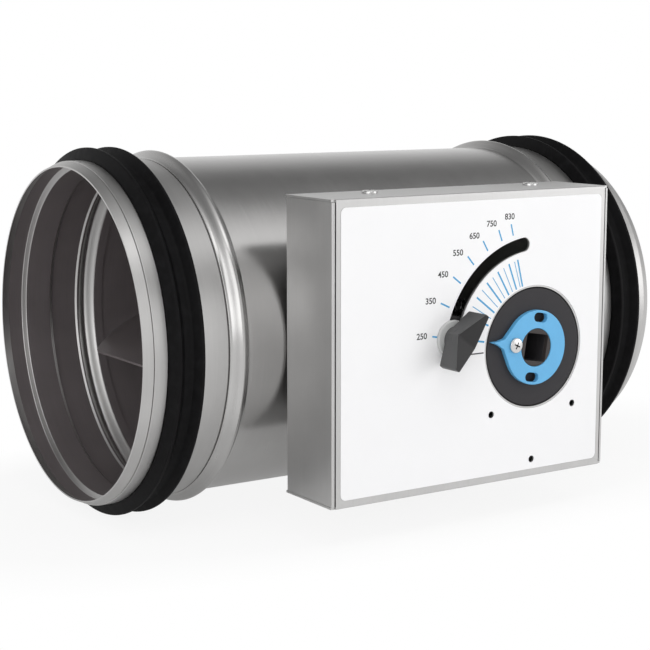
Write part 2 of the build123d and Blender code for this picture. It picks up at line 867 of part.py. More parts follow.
def setting_disc():
    """The dial disc with its skirt, clamp arm, hub and square drive socket."""
    disc = rod(dial_x, dial_z, disc_radius, disc_back, disc_front)
    skirt = Circle(skirt_radius)
    arm = Rot(0, 0, start_angle) * Pos(slot_radius / 2, 0) * Rectangle(slot_radius, arm_width)
    end = Pos(*at_angle(slot_radius, start_angle)) * Circle(arm_width / 2)
    plane = facing(arm_back, dial_x, dial_z)
    body = disc + extrude(plane * (skirt + arm + end), amount=skirt_thickness)
    body += rod(dial_x, dial_z, hub_radius, hub_back, arm_back)
    socket = Rot(0, 0, start_angle) * RectangleRounded(drive_square, drive_square, drive_corner)
    depth = hub_back - disc_front + 2 * spare
    body -= extrude(facing(hub_back + spare, dial_x, dial_z) * socket, amount=depth)
    body -= rod(bolt_x, bolt_z, bolt_radius, arm_back + spare, arm_front - spare)
    x, z = at_angle(pointer_screw_radius, start_angle, dial_x, dial_z)
    body -= rod(x, z, screw_shank_radius, disc_front + pointer_screw_length, disc_front - spare)
    pockets = facing(disc_front, dial_x, dial_z) * Rot(0, 0, start_angle) * ring_slots()
    return body - extrude(pockets, amount=-ring_pocket_depth)


def ring_slots():
    """The outline of the two slots in the pointer ring."""
    slot = SlotOverall(ring_slot_length, ring_slot_width)
    return Pos(0, ring_slot_radius) * slot + Pos(0, -ring_slot_radius) * slot


def pointer_outline():
    """The ring's outline: a circle drawn out to two shoulders and a slim pointer."""
    reach = degrees(acos(ring_radius / shoulder_radius))
    tangent = shoulder_angle + reach
    upper, lower = at_angle(shoulder_radius, -shoulder_angle), at_angle(shoulder_radius, shoulder_angle)
    tip = (pointer_radius, 0)
    middle_x = (upper[0] + tip[0]) / 2
    middle_z = upper[1] / 2
    edges = [
        Line(at_angle(ring_radius, -tangent), upper),
        ThreePointArc(upper, (middle_x, middle_z + pointer_hollow), tip),
        ThreePointArc(tip, (middle_x, -middle_z - pointer_hollow), lower),
        Line(lower, at_angle(ring_radius, tangent)),
        Line(at_angle(ring_radius, tangent), at_angle(ring_radius, -tangent)),
    ]
    return Circle(ring_radius) + outline_face(edges)


def pointer_ring():
    """The coloured pointer ring on the dial disc."""
    face = pointer_outline() - Circle(ring_bore) - ring_slots()
    face -= Pos(pointer_screw_radius, 0) * Circle(screw_shank_radius)
    plane = facing(disc_front, dial_x, dial_z)
    ring = extrude(plane * Rot(0, 0, start_angle) * face, amount=ring_thickness)
    return ring


def pointer_screw():
    """The screw that holds the pointer ring to the disc."""
    x, z = at_angle(pointer_screw_radius, start_angle, dial_x, dial_z)
    length = pointer_screw_length + ring_thickness
    return pan_screw(facing(ring_front, x, z), screw_head_radius, screw_head_height,
                     screw_shank_radius, length)


def spring_arm():
    """The steel arm on the setting hub that pulls the spring."""
    plane = facing(spring_arm_back(), dial_x, dial_z)
    reach = (spring_arm_radius + hub_radius) / 2
    arm = Pos(reach, 0) * Rectangle(spring_arm_radius - hub_radius, spring_arm_width)
    end = Pos(spring_arm_radius, 0) * Circle(spring_arm_width / 2)
    face = Circle(spring_arm_ring) + Rot(0, 0, spring_arm_angle) * (arm + end)
    solid = extrude(plane * face, amount=spring_arm_thickness)
    solid -= rod(dial_x, dial_z, hub_radius, hub_back, arm_back)
    x, z = at_angle(spring_arm_radius, spring_arm_angle, dial_x, dial_z)
    return solid - rod(x, z, pin_radius, floor_y, arm_back)


def spring_arm_back():
    """The depth of the spring arm's rear face."""
    return spring_y + wire_radius + loop_gap + spring_arm_thickness


def arm_pin():
    """The spring pin of the setting arm."""
    x, z = at_angle(spring_arm_radius, spring_arm_angle, dial_x, dial_z)
    return spring_pin(x, z, spring_arm_back(), spring_arm_back() - spring_arm_thickness)


def tension_spring():
    """The coil spring between the lever's pin and the setting arm's pin."""
    ax, az = on_lever(lever_radius)
    bx, bz = at_angle(spring_arm_radius, spring_arm_angle, dial_x, dial_z)
    span = hypot(bx - ax, bz - az)
    loop = pin_radius + loop_gap + wire_radius
    start = loop + loop_neck
    turns_length = span - 2 * start
    turns = round(turns_length / coil_pitch)
    pitch = turns_length / turns
    helix = Helix(pitch, pitch * (turns + 2 * coil_overrun / 360), coil_radius)
    coil = sweep(Plane(helix @ 0, z_dir=helix % 0) * Circle(wire_radius), path=helix, is_frenet=True)
    coil = Pos(0, 0, start - pitch * coil_overrun / 360) * Rot(0, 0, -coil_overrun) * coil
    for end, way in ((0, 1), (span, -1)):
        ring = Pos(0, 0, end) * Rot(90, 0, 0) * Torus(loop, hook_radius)
        neck = Pos(0, 0, end + way * (loop + start) / 2) * Cylinder(hook_radius, loop_neck + hook_radius)
        spoke = Rot(0, 90, 0) * Cylinder(hook_radius, coil_radius)
        coil += ring + neck + Pos(coil_radius / 2, 0, end + way * start) * spoke
    way = Vector((bx - ax) / span, 0, (bz - az) / span)
    frame = Plane(origin=(ax, spring_y, az), x_dir=way.cross(Vector(0, 1, 0)), z_dir=way)
    return frame * coil


def clamp_bolt():
    """The square-necked bolt through the clamp arm, the arc slot, the washer and the knob."""
    end = knob_front + wing_dip + bolt_cover
    bolt = rod(bolt_x, bolt_z, bolt_head_radius, arm_back + bolt_head_height, arm_back)
    return bolt + rod(bolt_x, bolt_z, bolt_radius, arm_back, end + knob_gap)


def clamp_washer():
    """The broad washer under the wing knob."""
    washer = rod(bolt_x, bolt_z, washer_radius, washer_back, washer_front)
    rim = washer.edges().sort_by(Axis.Y)[0]
    washer = fillet(rim, washer_round)
    return washer - rod(bolt_x, bolt_z, bolt_radius, washer_back + spare, washer_front - spare)


def wing_knob():
    """The moulded wing knob: round hub, rhombic wing and two front facets."""
    plane = facing(knob_back - wing_lift, bolt_x, bolt_z)
    outline = Polyline(
        (wing_half_length, wing_half_end),
        (0, wing_half_middle),
        (-wing_half_length, wing_half_end),
        (-wing_half_length, -wing_half_end),
        (0, -wing_half_middle),
        (wing_half_length, -wing_half_end),
        close=True,
    )
    turn = Rot(0, 0, 90 - knob_tilt)
    wing = extrude(plane * turn * make_face(outline), amount=knob_depth - wing_lift)
    reach = 2 * wing_half_length
    valley = Polyline(
        (-reach, 0),
        (reach, 0),
        (reach, wing_dip * reach / wing_half_length - wing_dip),
        (0, -wing_dip),
        (-reach, wing_dip * reach / wing_half_length - wing_dip),
        close=True,
    )
    along = Vector(sin(radians(knob_tilt)), 0, cos(radians(knob_tilt)))
    across = Vector(0, -1, 0)
    side_plane = Plane(origin=(bolt_x, knob_front, bolt_z), x_dir=along, z_dir=along.cross(across))
    wing -= extrude(side_plane * make_face(valley), amount=wing_half_length, both=True)
    upright = wing.edges().filter_by(Axis.Y)
    ends = upright.sort_by(lambda e: abs((e.center() - side_plane.origin).dot(along)))[-4:]
    wing = fillet(ends, wing_corner)
    hub = rod(bolt_x, bolt_z, knob_hub_radius, knob_back, knob_back - knob_hub_length)
    hub = fillet(hub.edges().sort_by(Axis.Y)[0], knob_hub_round)
    bore_front = knob_front + wing_dip + bolt_cover - knob_bore_gap
    bore = rod(bolt_x, bolt_z, bolt_radius + knob_bore_gap, knob_back + spare, bore_front)
    return wing + hub - bore


def write(name, shape):
    """Write one sub-part to its STEP file."""
    shape.label = name
    export_step(shape, os.path.join("parts", name + ".step"))
    print(name, round(shape.volume, 1))


os.makedirs("parts", exist_ok=True)
outlet = spigot()
outlet_ring = lip_seal()
write("casing_tube", casing_tube())
write("outlet_spigot", outlet)
write("inlet_spigot", mirror(outlet, about=Plane.YZ))
write("outlet_seal", outlet_ring)
write("inlet_seal", mirror(outlet_ring, about=Plane.YZ))
write("box_base", box_base())
write("box_cover", box_cover())
write("scale_label", scale_label())
write("cover_screws", cover_screws())
write("upper_bracket", bracket(1))
write("lower_bracket", bracket(-1))
write("bracket_rivets", bracket_rivets())
write("front_bush", shaft_bush(-1))
write("rear_bush", shaft_bush(1))
write("damper_blade", damper_blade())
write("blade_shaft", blade_shaft())
write("blade_screws", blade_screws())
write("thrust_washer", thrust_washer())
write("shaft_clip", shaft_clip())
write("shaft_lever", shaft_lever())
write("lever_pin", lever_pin())
write("damping_unit", damping_unit())
write("damper_screws", damper_screws())
write("damper_pinion", damper_pinion())
write("stop_posts", stop_posts())
write("stop_buffers", stop_buffers())
write("setting_bearing", setting_bearing())
write("bearing_screws", bearing_screws())
write("setting_disc", setting_disc())
write("pointer_ring", pointer_ring())
write("pointer_screw", pointer_screw())
write("spring_arm", spring_arm())
write("arm_pin", arm_pin())
write("tension_spring", tension_spring())
write("clamp_bolt", clamp_bolt())
write("clamp_washer", clamp_washer())
write("wing_knob", wing_knob())
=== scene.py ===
import bpy
import bmesh
import json
from math import cos, degrees, pi, radians, sin, sqrt
from mathutils import Matrix, Vector


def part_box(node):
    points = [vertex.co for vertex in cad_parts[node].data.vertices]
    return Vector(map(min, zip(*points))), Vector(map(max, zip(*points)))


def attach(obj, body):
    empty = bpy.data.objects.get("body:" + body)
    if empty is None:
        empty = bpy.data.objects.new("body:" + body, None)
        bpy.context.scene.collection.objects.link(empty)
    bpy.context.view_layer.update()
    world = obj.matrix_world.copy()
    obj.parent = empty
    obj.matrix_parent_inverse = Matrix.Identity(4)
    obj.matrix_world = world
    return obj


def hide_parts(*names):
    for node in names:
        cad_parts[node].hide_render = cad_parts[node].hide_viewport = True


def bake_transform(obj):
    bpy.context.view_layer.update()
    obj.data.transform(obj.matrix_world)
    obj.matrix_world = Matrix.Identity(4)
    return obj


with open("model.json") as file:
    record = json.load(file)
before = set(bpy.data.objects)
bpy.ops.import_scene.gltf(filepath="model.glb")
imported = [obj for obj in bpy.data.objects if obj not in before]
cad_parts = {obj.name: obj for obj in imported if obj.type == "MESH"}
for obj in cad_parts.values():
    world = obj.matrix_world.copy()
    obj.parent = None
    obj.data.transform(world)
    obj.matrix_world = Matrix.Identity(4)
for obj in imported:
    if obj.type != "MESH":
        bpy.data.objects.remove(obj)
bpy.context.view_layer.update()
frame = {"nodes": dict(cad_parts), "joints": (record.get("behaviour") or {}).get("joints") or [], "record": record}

# A round in-duct air volume regulator. Sizes are in millimetres, and newMesh and plate make metres of them.
# X runs along the duct from the inlet to the outlet, Z is up, and the scale faces -Y.
mm = 0.001
weld = {"fine": 0.0005 * mm, "coarse": 0.001 * mm}
scene = bpy.context.scene
mounts = {mount["name"]: mount for mount in frame["record"]["mounts"]}
joints = {joint["name"]: joint for joint in frame["joints"]}


def nodeBox(name):
    low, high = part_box(name)
    return low / mm, high / mm


def jointPlace(name):
    return Vector(joints[name]["pos_m"]) / mm


# Materials: one class for a socket in a sum, one for a material's nodes

class Wire:
    def __init__(self, look, socket):
        self.look = look
        self.socket = socket

    def maths(self, operation, *values):
        return self.look.maths(operation, *values)

    def __add__(self, other):
        return self.maths("ADD", self, other)

    def __sub__(self, other):
        return self.maths("SUBTRACT", self, other)

    def __rsub__(self, other):
        return self.maths("SUBTRACT", other, self)

    def __mul__(self, other):
        return self.maths("MULTIPLY", self, other)

    def __truediv__(self, other):
        return self.maths("DIVIDE", self, other)

    def __pow__(self, other):
        return self.maths("POWER", self, other)

    __radd__ = __add__
    __rmul__ = __mul__


class Look:
    def __init__(self, owner, shader="Principled BSDF", **fixed):
        owner.use_nodes = True
        self.owner = owner
        self.tree = owner.node_tree
        self.shader = self.tree.nodes[shader]
        for socket, value in fixed.items():
            self.set(socket, value)

    def set(self, socket, value):  # baseColor sets or links the socket Base Color
        sockets = {each.name.replace(" ", "").lower(): each for each in self.shader.inputs}
        self.put(sockets[socket.lower()], value)

    def put(self, socket, value):
        if isinstance(value, Wire):
            self.tree.links.new(value.socket, socket)
        elif hasattr(value, "__len__") and len(value) == 3 and socket.type == "RGBA":
            socket.default_value = (*value, 1.0)
        else:
            socket.default_value = value

    def node(self, kind, settings=None, values=None, output=0):
        made = self.tree.nodes.new(kind)
        for name, value in (settings or {}).items():
            if name == "stops":
                setStops(made.color_ramp, value)
            else:
                setattr(made, name, value)
        for name, value in (values or {}).items():
            self.put(made.inputs[name], value)
        return Wire(self, made.outputs[output])

    def maths(self, operation, *values):
        return self.node("ShaderNodeMath", {"operation": operation}, dict(enumerate(values)))

    def rays(self):  # 1 where the eye, metal or glass looks
        return [self.node("ShaderNodeLightPath", output=name) for name in
                ("Is Camera Ray", "Is Glossy Ray", "Is Transmission Ray")]

    def finish(self, factor, other):  # mixes the shader with another one
        values = {0: factor, 1: Wire(self, self.shader.outputs[0]), 2: other}
        mix = self.node("ShaderNodeMixShader", None, values)
        self.tree.links.new(mix.socket, self.tree.nodes["Material Output"].inputs["Surface"])

    def place(self):  # the object's own coordinates, in metres
        return self.node("ShaderNodeTexCoord", output="Object")

    def axes(self):
        split = self.place()
        return [self.node("ShaderNodeSeparateXYZ", None, {0: split}, axis) for axis in (0, 1, 2)]

    def stretched(self, x, y, z):  # coordinates times a scale for each axis
        return self.node("ShaderNodeVectorMath", {"operation": "MULTIPLY"}, {0: self.place(), 1: (x, y, z)})

    def noise(self, vector, scale=1.0, detail=3.0, roughness=0.55):
        values = {"Vector": vector, "Scale": scale, "Detail": detail, "Roughness": roughness}
        return self.node("ShaderNodeTexNoise", None, values)

    def between(self, value, low, high, start=0.0, end=1.0):
        values = {"Value": value, "From Min": low, "From Max": high, "To Min": start, "To Max": end}
        return self.node("ShaderNodeMapRange", {"clamp": True}, values)

    def spread(self, noise, start=0.0, end=1.0):  # most of a noise lies between 0.3 and 0.7
        return self.between(noise, 0.3, 0.7, start, end)

    def mixed(self, factor, first, second):
        values = {0: factor, 6: first, 7: second}
        return self.node("ShaderNodeMix", {"data_type": "RGBA"}, values, 2)

    def roughened(self, noise, smooth, spread):
        self.set("roughness", self.spread(noise, smooth, smooth + spread))

    def bumped(self, height, distance, strength):
        values = {"Height": height, "Distance": distance, "Strength": strength}
        self.set("normal", self.node("ShaderNodeBump", None, values))


def newLook(name, **fixed):
    return Look(bpy.data.materials.new(name), **fixed)


def setStops(ramp, stops):
    while len(ramp.elements) > 1:
        ramp.elements.remove(ramp.elements[-1])
    for index, (place, colour) in enumerate(stops):
        stop = ramp.elements[0] if index == 0 else ramp.elements.new(place)
        stop.position = place
        stop.color = (*colour, 1.0) if len(colour) == 3 else colour


def grey(level, warmth=0.0):
    return (level * (1 + warmth), level, level * (1 - warmth))


# inner is a darker brownish colour for the duct's inside and the blade in it: painted shade, the same sheet being
# darkened where the tube's inside lies in shade
galvanised = {"bright": 0.50, "dull": 0.44, "warmth": 0.012, "roughness": 0.20, "spread": 0.08,
              "grainAcross": 2400.0, "grainAlong": 30.0, "mottle": 42.0, "grainDepth": 0.00002,
              "grainShare": 0.4, "bump": 0.5, "endRoughness": 0.34, "inner": (0.25, 0.223, 0.227),
              "innerShade": 0.85, "innerMetal": 0.55, "innerRoughness": 0.34}


def galvanisedLook(name, smooth, inner=False):  # with inner, the skin takes a darker brownish colour, painted shade for the inside of the duct, and is dull
    values = galvanised
    look = newLook(name, metallic=values["innerMetal"] if inner else 1.0)
    mottle = look.noise(look.place(), values["mottle"], detail=4.0)
    grain = look.noise(look.stretched(values["grainAcross"], values["grainAlong"], values["grainAlong"]))
    tone = look.spread(mottle * (1 - values["grainShare"]) + grain * values["grainShare"])
    bright, dull = grey(values["bright"], values["warmth"]), grey(values["dull"], values["warmth"])
    # painted shade: inside the duct the zinc tones give way to the darker inner colour
    if inner:
        bright = values["inner"]
        dull = tuple(part * values["innerShade"] for part in bright)
    look.set("baseColor", look.mixed(tone, dull, bright))
    look.roughened(grain * 0.5 + mottle * 0.5, smooth, values["spread"])
    look.bumped(grain, values["grainDepth"], values["bump"])
    return look.owner


sheetSteel = {"metal": 0.8, "bright": 0.54, "dull": 0.49, "warmth": 0.008, "roughness": 0.33,
              "spread": 0.08, "grainAcross": 1400.0, "grainAlong": 25.0, "mottle": 60.0,
              "grainShare": 0.5, "grainDepth": 0.000015, "bump": 0.5}


def sheetSteelLook(name):
    values = sheetSteel
    look = newLook(name, metallic=values["metal"])
    mottle = look.noise(look.place(), values["mottle"], detail=4.0)
    grain = look.noise(look.stretched(values["grainAcross"], values["grainAcross"], values["grainAlong"]))
    tone = look.spread(mottle * (1 - values["grainShare"]) + grain * values["grainShare"])
    dull, bright = grey(values["dull"], values["warmth"]), grey(values["bright"], values["warmth"])
    look.set("baseColor", look.mixed(tone, dull, bright))
    look.roughened(grain, values["roughness"], values["spread"])
    look.bumped(grain, values["grainDepth"], values["bump"])
    return look.owner


zinc = {"bright": 0.66, "dull": 0.60, "roughness": 0.24, "spread": 0.06, "mottle": 420.0, "depth": 0.000004,
        "bump": 0.4, "warmth": 0.01}


def zincLook(name, level=1.0):
    look = newLook(name, metallic=1.0)
    mottle = look.noise(look.place(), zinc["mottle"])
    dull, bright = grey(zinc["dull"] * level), grey(zinc["bright"] * level, zinc["warmth"])
    look.set("baseColor", look.mixed(mottle, dull, bright))
    look.roughened(mottle, zinc["roughness"], zinc["spread"])
    look.bumped(mottle, zinc["depth"], zinc["bump"])
    return look.owner


plasticValues = {"grainScale": 2600.0, "mottle": 120.0, "depth": 0.00002, "tones": (0.35, 0.65),
                 "smoother": 0.04, "spread": 0.1}


def plasticLook(name, colour, roughness, grainStrength=0.35, shade=0.9, shine=0.5):
    values = plasticValues
    look = newLook(name, specularIorLevel=shine)
    grain = look.noise(look.place(), values["grainScale"], detail=2.0)
    mottle = look.noise(look.place(), values["mottle"])
    darker = tuple(part * shade for part in colour)
    tone = look.between(grain * 0.5 + mottle * 0.5, *values["tones"])
    look.set("baseColor", look.mixed(tone, darker, colour))
    look.roughened(mottle, roughness - values["smoother"], values["spread"])
    look.bumped(grain, values["depth"], grainStrength)
    return look.owner


rubber = {"colour": (0.0035, 0.0033, 0.0037), "dusty": (0.008, 0.0078, 0.0085), "roughness": 0.5,
          "spread": 0.12, "dust": (0.45, 0.75), "scale": 240.0, "fine": 2200.0, "depth": 0.00003,
          "bump": 0.4, "shine": 0.1}


def rubberLook(name):
    look = newLook(name, specularIorLevel=rubber["shine"])
    dust = look.noise(look.place(), rubber["scale"], detail=5.0)
    fine = look.noise(look.place(), rubber["fine"], detail=2.0)
    look.set("baseColor", look.mixed(look.between(dust, *rubber["dust"]), rubber["colour"], rubber["dusty"]))
    look.roughened(dust, rubber["roughness"], rubber["spread"])
    look.bumped(fine, rubber["depth"], rubber["bump"])
    return look.owner


foil = {"white": (0.91, 0.908, 0.915), "shade": (0.885, 0.882, 0.89), "roughness": 0.34, "spread": 0.06,
        "scale": 35.0, "fine": 1800.0, "depth": 0.000008, "bump": 0.4, "coat": 0.15,
        "coatRoughness": 0.25}


def foilLook(name):
    look = newLook(name, coatWeight=foil["coat"], coatRoughness=foil["coatRoughness"])
    cloud = look.noise(look.place(), foil["scale"])
    fine = look.noise(look.place(), foil["fine"], detail=2.0)
    look.set("baseColor", look.mixed(cloud, foil["white"], foil["shade"]))
    look.roughened(cloud, foil["roughness"], foil["spread"])
    look.bumped(fine, foil["depth"], foil["bump"])
    return look.owner


ink = {"speck": 4200.0, "specks": (0.5, 0.8), "white": 0.9, "foilShare": 0.10, "roughness": 0.38,
       "spread": 0.12}


def inkLook(name, colour):  # specks of the white foil show through the ink
    look = newLook(name)
    speck = look.noise(look.place(), ink["speck"], detail=2.0)
    paler = tuple(part + (ink["white"] - part) * ink["foilShare"] for part in colour)
    look.set("baseColor", look.mixed(look.between(speck, *ink["specks"]), colour, paler))
    look.roughened(speck, ink["roughness"], ink["spread"])
    return look.owner


print("materials")
ductRadius = mounts["inlet_spigot"]["dims"]["r_mm"]
looks = {
    "duct": galvanisedLook("galvanisedDuct", galvanised["roughness"]),
    "end": galvanisedLook("galvanisedEnd", galvanised["endRoughness"]),
    # the inside and the blade are painted darker, as painted shade inside the duct
    "inside": galvanisedLook("galvanisedInside", galvanised["innerRoughness"], True),
    "blade": galvanisedLook("galvanisedBlade", galvanised["innerRoughness"], True),
    "sheet": sheetSteelLook("foldedSheet"),
    "zinc": zincLook("zincPlated"),
    # the screws' cross recess is zinc painted dark, painted shade in the recess
    "recess": zincLook("screwRecess", 0.12),
    "rivet": zincLook("rivetAluminium", 1.1),
    "spring": zincLook("springWire", 0.3),
    "rubber": rubberLook("sealRubber"),
    "foil": foilLook("scaleFoil"),
    "blueInk": inkLook("blueInk", (0.045, 0.335, 0.62)),
    "blackInk": inkLook("blackInk", (0.012, 0.012, 0.013)),
    "disc": plasticLook("discPlastic", (0.036, 0.034, 0.037), 0.55, shine=0.22),
    "socket": plasticLook("socketPlastic", (0.046, 0.039, 0.038), 0.5, shine=0.3),
    "pointer": plasticLook("pointerPlastic", (0.125, 0.445, 0.765), 0.38, 0.2, 0.94),
    # knob and its front are one plastic: the front facets take a darker copy of it, painted shade
    "knob": plasticLook("knobPlastic", (0.082, 0.082, 0.083), 0.45, shine=0.35),
    "knobFront": plasticLook("knobFrontPlastic", (0.036, 0.035, 0.036), 0.55, shine=0.2),
    "washer": plasticLook("washerPlastic", (0.5, 0.505, 0.5), 0.42, 0.2),
    "bush": plasticLook("bushPlastic", (0.03, 0.03, 0.03), 0.45),
    "damper": plasticLook("damperPlastic", (0.012, 0.012, 0.012), 0.4),
    "pinion": plasticLook("pinionPlastic", (0.62, 0.58, 0.48), 0.4),
}


# Meshes

def finished(name, mesh, look, body, stands=(), bevel=0.0, sharpAngle=32.0, steps=2,
             second=None):
    work = bmesh.new()
    work.from_mesh(mesh)
    bmesh.ops.remove_doubles(work, verts=work.verts, dist=weld["fine"])
    bmesh.ops.dissolve_degenerate(work, edges=work.edges, dist=weld["fine"])
    bmesh.ops.recalc_face_normals(work, faces=work.faces)
    for face in work.faces:
        face.smooth = True
    for edge in work.edges:
        edge.smooth = len(edge.link_faces) == 2 and edge.calc_face_angle() < radians(sharpAngle)
    work.to_mesh(mesh)
    work.free()
    for each in (look, second) if second else (look,):
        mesh.materials.append(looks[each])
    piece = bpy.data.objects.new(name, mesh)
    scene.collection.objects.link(piece)
    if bevel:
        rounding = piece.modifiers.new("edgeRounding", "BEVEL")
        rounding.width = bevel * mm
        rounding.segments = steps
        rounding.limit_method = "ANGLE"
        rounding.angle_limit = radians(sharpAngle)
        rounding.harden_normals = False
    normals = piece.modifiers.new("flatNormals", "WEIGHTED_NORMAL")
    normals.keep_sharp = not bevel
    if isinstance(body, tuple):  # two bodies and two points, none of them read: the piece is baked where it stands and not attached
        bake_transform(piece)
    else:
        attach(piece, body)
    if stands:
        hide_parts(*stands)
    return piece


def newMesh(name, points, faces):  # points in millimetres
    mesh = bpy.data.meshes.new(name)
    mesh.from_pydata([Vector(point) * mm for point in points], [], faces)
    return mesh


def faceInside(mesh):  # faces towards the duct's axis take the second look, the darker inside colour that paints the shade inside the duct
    steepest = 0.35
    for face in closedUp(mesh).polygons:
        middle, normal = face.center, face.normal
        face.material_index = int(middle.y * normal.y + middle.z * normal.z < 0 and abs(normal.x) < steepest)
    return mesh


def joined(name, *meshes):
    work = bmesh.new()
    for mesh in meshes:
        work.from_mesh(mesh)
        bpy.data.meshes.remove(mesh)
    whole = bpy.data.meshes.new(name)
    work.to_mesh(whole)
    work.free()
    return whole


def rounded(points, radii, steps=6, closed=True):  # a flat outline with arcs in place of its corners
    mostOfEdge, straight = 0.49, 0.001
    out = []
    count = len(points)
    for index, (point, radius) in enumerate(zip(points, radii)):
        here = Vector(point)
        if not radius or (not closed and index in (0, count - 1)):
            out.append(tuple(here))
            continue
        before = Vector(points[index - 1]) - here
        after = Vector(points[(index + 1) % count]) - here
        half = before.angle(after) / 2
        if abs(half - pi / 2) < straight:
            out.append(tuple(here))
            continue
        slope = sin(half) / cos(half)
        reach = min(radius / slope, before.length * mostOfEdge, after.length * mostOfEdge)
        radius = reach * slope
        middle = here + (before.normalized() + after.normalized()).normalized() * (radius / sin(half))
        start = here + before.normalized() * reach - middle
        end = here + after.normalized() * reach - middle
        for step in range(steps + 1):
            share = step / steps
            out.append(tuple(middle + start.slerp(end, share) * radius))
    return out


def spun(profile, steps, axis="X", centre=(0.0, 0.0)):  # a closed outline (along, radius) turned round X or Y
    points = []
    count = len(profile)
    for step in range(steps):
        angle = 2 * pi * step / steps
        for along, radius in profile:
            side, up = radius * cos(angle), radius * sin(angle)
            if axis == "X":
                points.append((along, side + centre[0], up + centre[1]))
            else:
                points.append((side + centre[0], along, up + centre[1]))
    faces = []
    for step in range(steps):
        here, there = step * count, (step + 1) % steps * count
        for index in range(count):
            after = (index + 1) % count
            faces.append((here + index, here + after, there + after, there + index))
    return newMesh("spun", points, faces)


def circle(x, z, radius, steps=96):
    turns = [2 * pi * k / steps for k in range(steps)]
    return [(x + radius * cos(turn), z + radius * sin(turn)) for turn in turns]


def arcPoints(x, z, radius, start, end, steps):
    step = (end - start) / steps
    return [polar(radius, start + step * k, x, z) for k in range(steps + 1)]


def polar(radius, angle, x=0.0, z=0.0):
    return (x + radius * cos(radians(angle)), z + radius * sin(radians(angle)))


def turned(points, angle, x=0.0, z=0.0):  # a plan turned by an angle and set down at x and z
    turn, up = cos(radians(angle)), sin(radians(angle))
    return [(x + a * turn - b * up, z + a * up + b * turn) for a, b in points]


def plate(outlines, back, front, edge=0.0, edgeSteps=2):  # a flat piece facing -Y, with its holes
    curve = bpy.data.curves.new("plate", "CURVE")
    curve.dimensions = "2D"
    curve.fill_mode = "BOTH"
    curve.extrude = (back - front) / 2 * mm - edge * mm
    curve.bevel_depth = edge * mm
    curve.bevel_resolution = edgeSteps - 1
    curve.offset = -edge * mm
    for outline in outlines:
        spline = curve.splines.new("POLY")
        spline.points.add(len(outline) - 1)
        for point, (x, z) in zip(spline.points, outline):
            point.co = (x * mm, z * mm, 0, 1)
        spline.use_cyclic_u = True
    holder = bpy.data.objects.new("plate", curve)
    scene.collection.objects.link(holder)
    bpy.context.view_layer.update()
    mesh = bpy.data.meshes.new_from_object(holder)
    bpy.data.objects.remove(holder)
    bpy.data.curves.remove(curve)
    mesh.transform(Matrix.Translation((0, (back + front) / 2 * mm, 0)) @ Matrix.Rotation(pi / 2, 4, "X"))
    return mesh


def extruded(profile, axis, start, end):  # a closed outline pushed along X or Z
    points = []
    for level in (start, end):
        for first, second in profile:
            points.append((level, first, second) if axis == "X" else (first, second, level))
    count = len(profile)
    faces = [tuple(range(count)), tuple(range(2 * count - 1, count - 1, -1))]
    for index in range(count):
        after = (index + 1) % count
        faces.append((index, index + count, after + count, after))
    return newMesh("extruded", points, faces)


def carved(mesh, *cutters):  # the mesh less the cutters, by exact booleans
    whole = bpy.data.objects.new("carved", mesh)
    scene.collection.objects.link(whole)
    tools = []
    for cutter in cutters:
        tool = bpy.data.objects.new("cutter", cutter)
        scene.collection.objects.link(tool)
        cut = whole.modifiers.new("cut", "BOOLEAN")
        cut.object = tool
        cut.solver = "EXACT"
        tools.append(tool)
    bpy.context.view_layer.update()
    result = bpy.data.meshes.new_from_object(whole.evaluated_get(bpy.context.evaluated_depsgraph_get()))
    for item in (whole, *tools):
        bpy.data.objects.remove(item)
    return result


screw = {"headRadius": 3.5, "headHeight": 1.5, "crown": 0.35, "edge": 0.75, "steps": 56,
         "recess": 1.0, "crossLength": 3.9, "crossWidth": 0.75, "crossTaper": 0.75, "foot": 0.05,
         "above": 1.0, "under": 0.2}


def crossCutter(top):  # the cross recess of a screw, from above its top
    meshes = []
    for turn in (0, 90):
        points = []
        for level, share in ((top - screw["above"], 1.0), (top + screw["recess"], screw["crossTaper"])):
            long, wide = screw["crossLength"] / 2 * share, screw["crossWidth"] / 2 * share
            corners = [(-long, -wide), (long, -wide), (long, wide), (-long, wide)]
            points += [(x, level, z) for x, z in turned(corners, turn)]
        faces = [(0, 1, 2, 3), (7, 6, 5, 4), (0, 4, 5, 1), (1, 5, 6, 2), (2, 6, 7, 3), (3, 7, 4, 0)]
        meshes.append(closedUp(newMesh("cross", points, faces)))
    return meshes


def closedUp(mesh):  # one closed skin with its faces outwards
    work = bmesh.new()
    work.from_mesh(mesh)
    bmesh.ops.remove_doubles(work, verts=work.verts, dist=weld["coarse"])
    bmesh.ops.recalc_face_normals(work, faces=work.faces)
    work.to_mesh(mesh)
    work.free()
    return mesh


def panHead():  # a pan head on the plane y = 0, towards -Y
    top = -screw["headHeight"]
    foot = screw["foot"]
    edge = [(screw["headRadius"], foot), (screw["headRadius"], top + screw["crown"]), (0.0, top)]
    side = rounded(edge, [0, screw["edge"], 0], closed=False)
    head = closedUp(spun([(foot, 0.0)] + [(y, r) for r, y in side], screw["steps"], "Y"))
    head = carved(head, *crossCutter(top))
    for face in head.polygons:  # the recess takes the second look, zinc darkened to paint the shade in the cross
        x, y, z = face.center / mm
        inCross = Vector((x, z)).length < screw["crossLength"] / 2
        face.material_index = int(y > top + screw["under"] and inCross)
    return head


print("duct casing")
casingEnd = nodeBox("casing_tube")[1]
casing = {"sheet": 0.7, "jointX": casingEnd.x, "beadHeight": casingEnd.z - ductRadius, "beadCentre": 99.3,
          "beadWidth": 9.6, "beadSteps": 28, "around": 224, "edge": 0.12, "stations": (60, 20, -20, -60)}


def beadRadius(x, base):
    away = abs(abs(x) - casing["beadCentre"]) / casing["beadWidth"]
    return base + (casing["beadHeight"] / 2 * (1 + cos(2 * pi * away)) if away < 0.5 else 0.0)


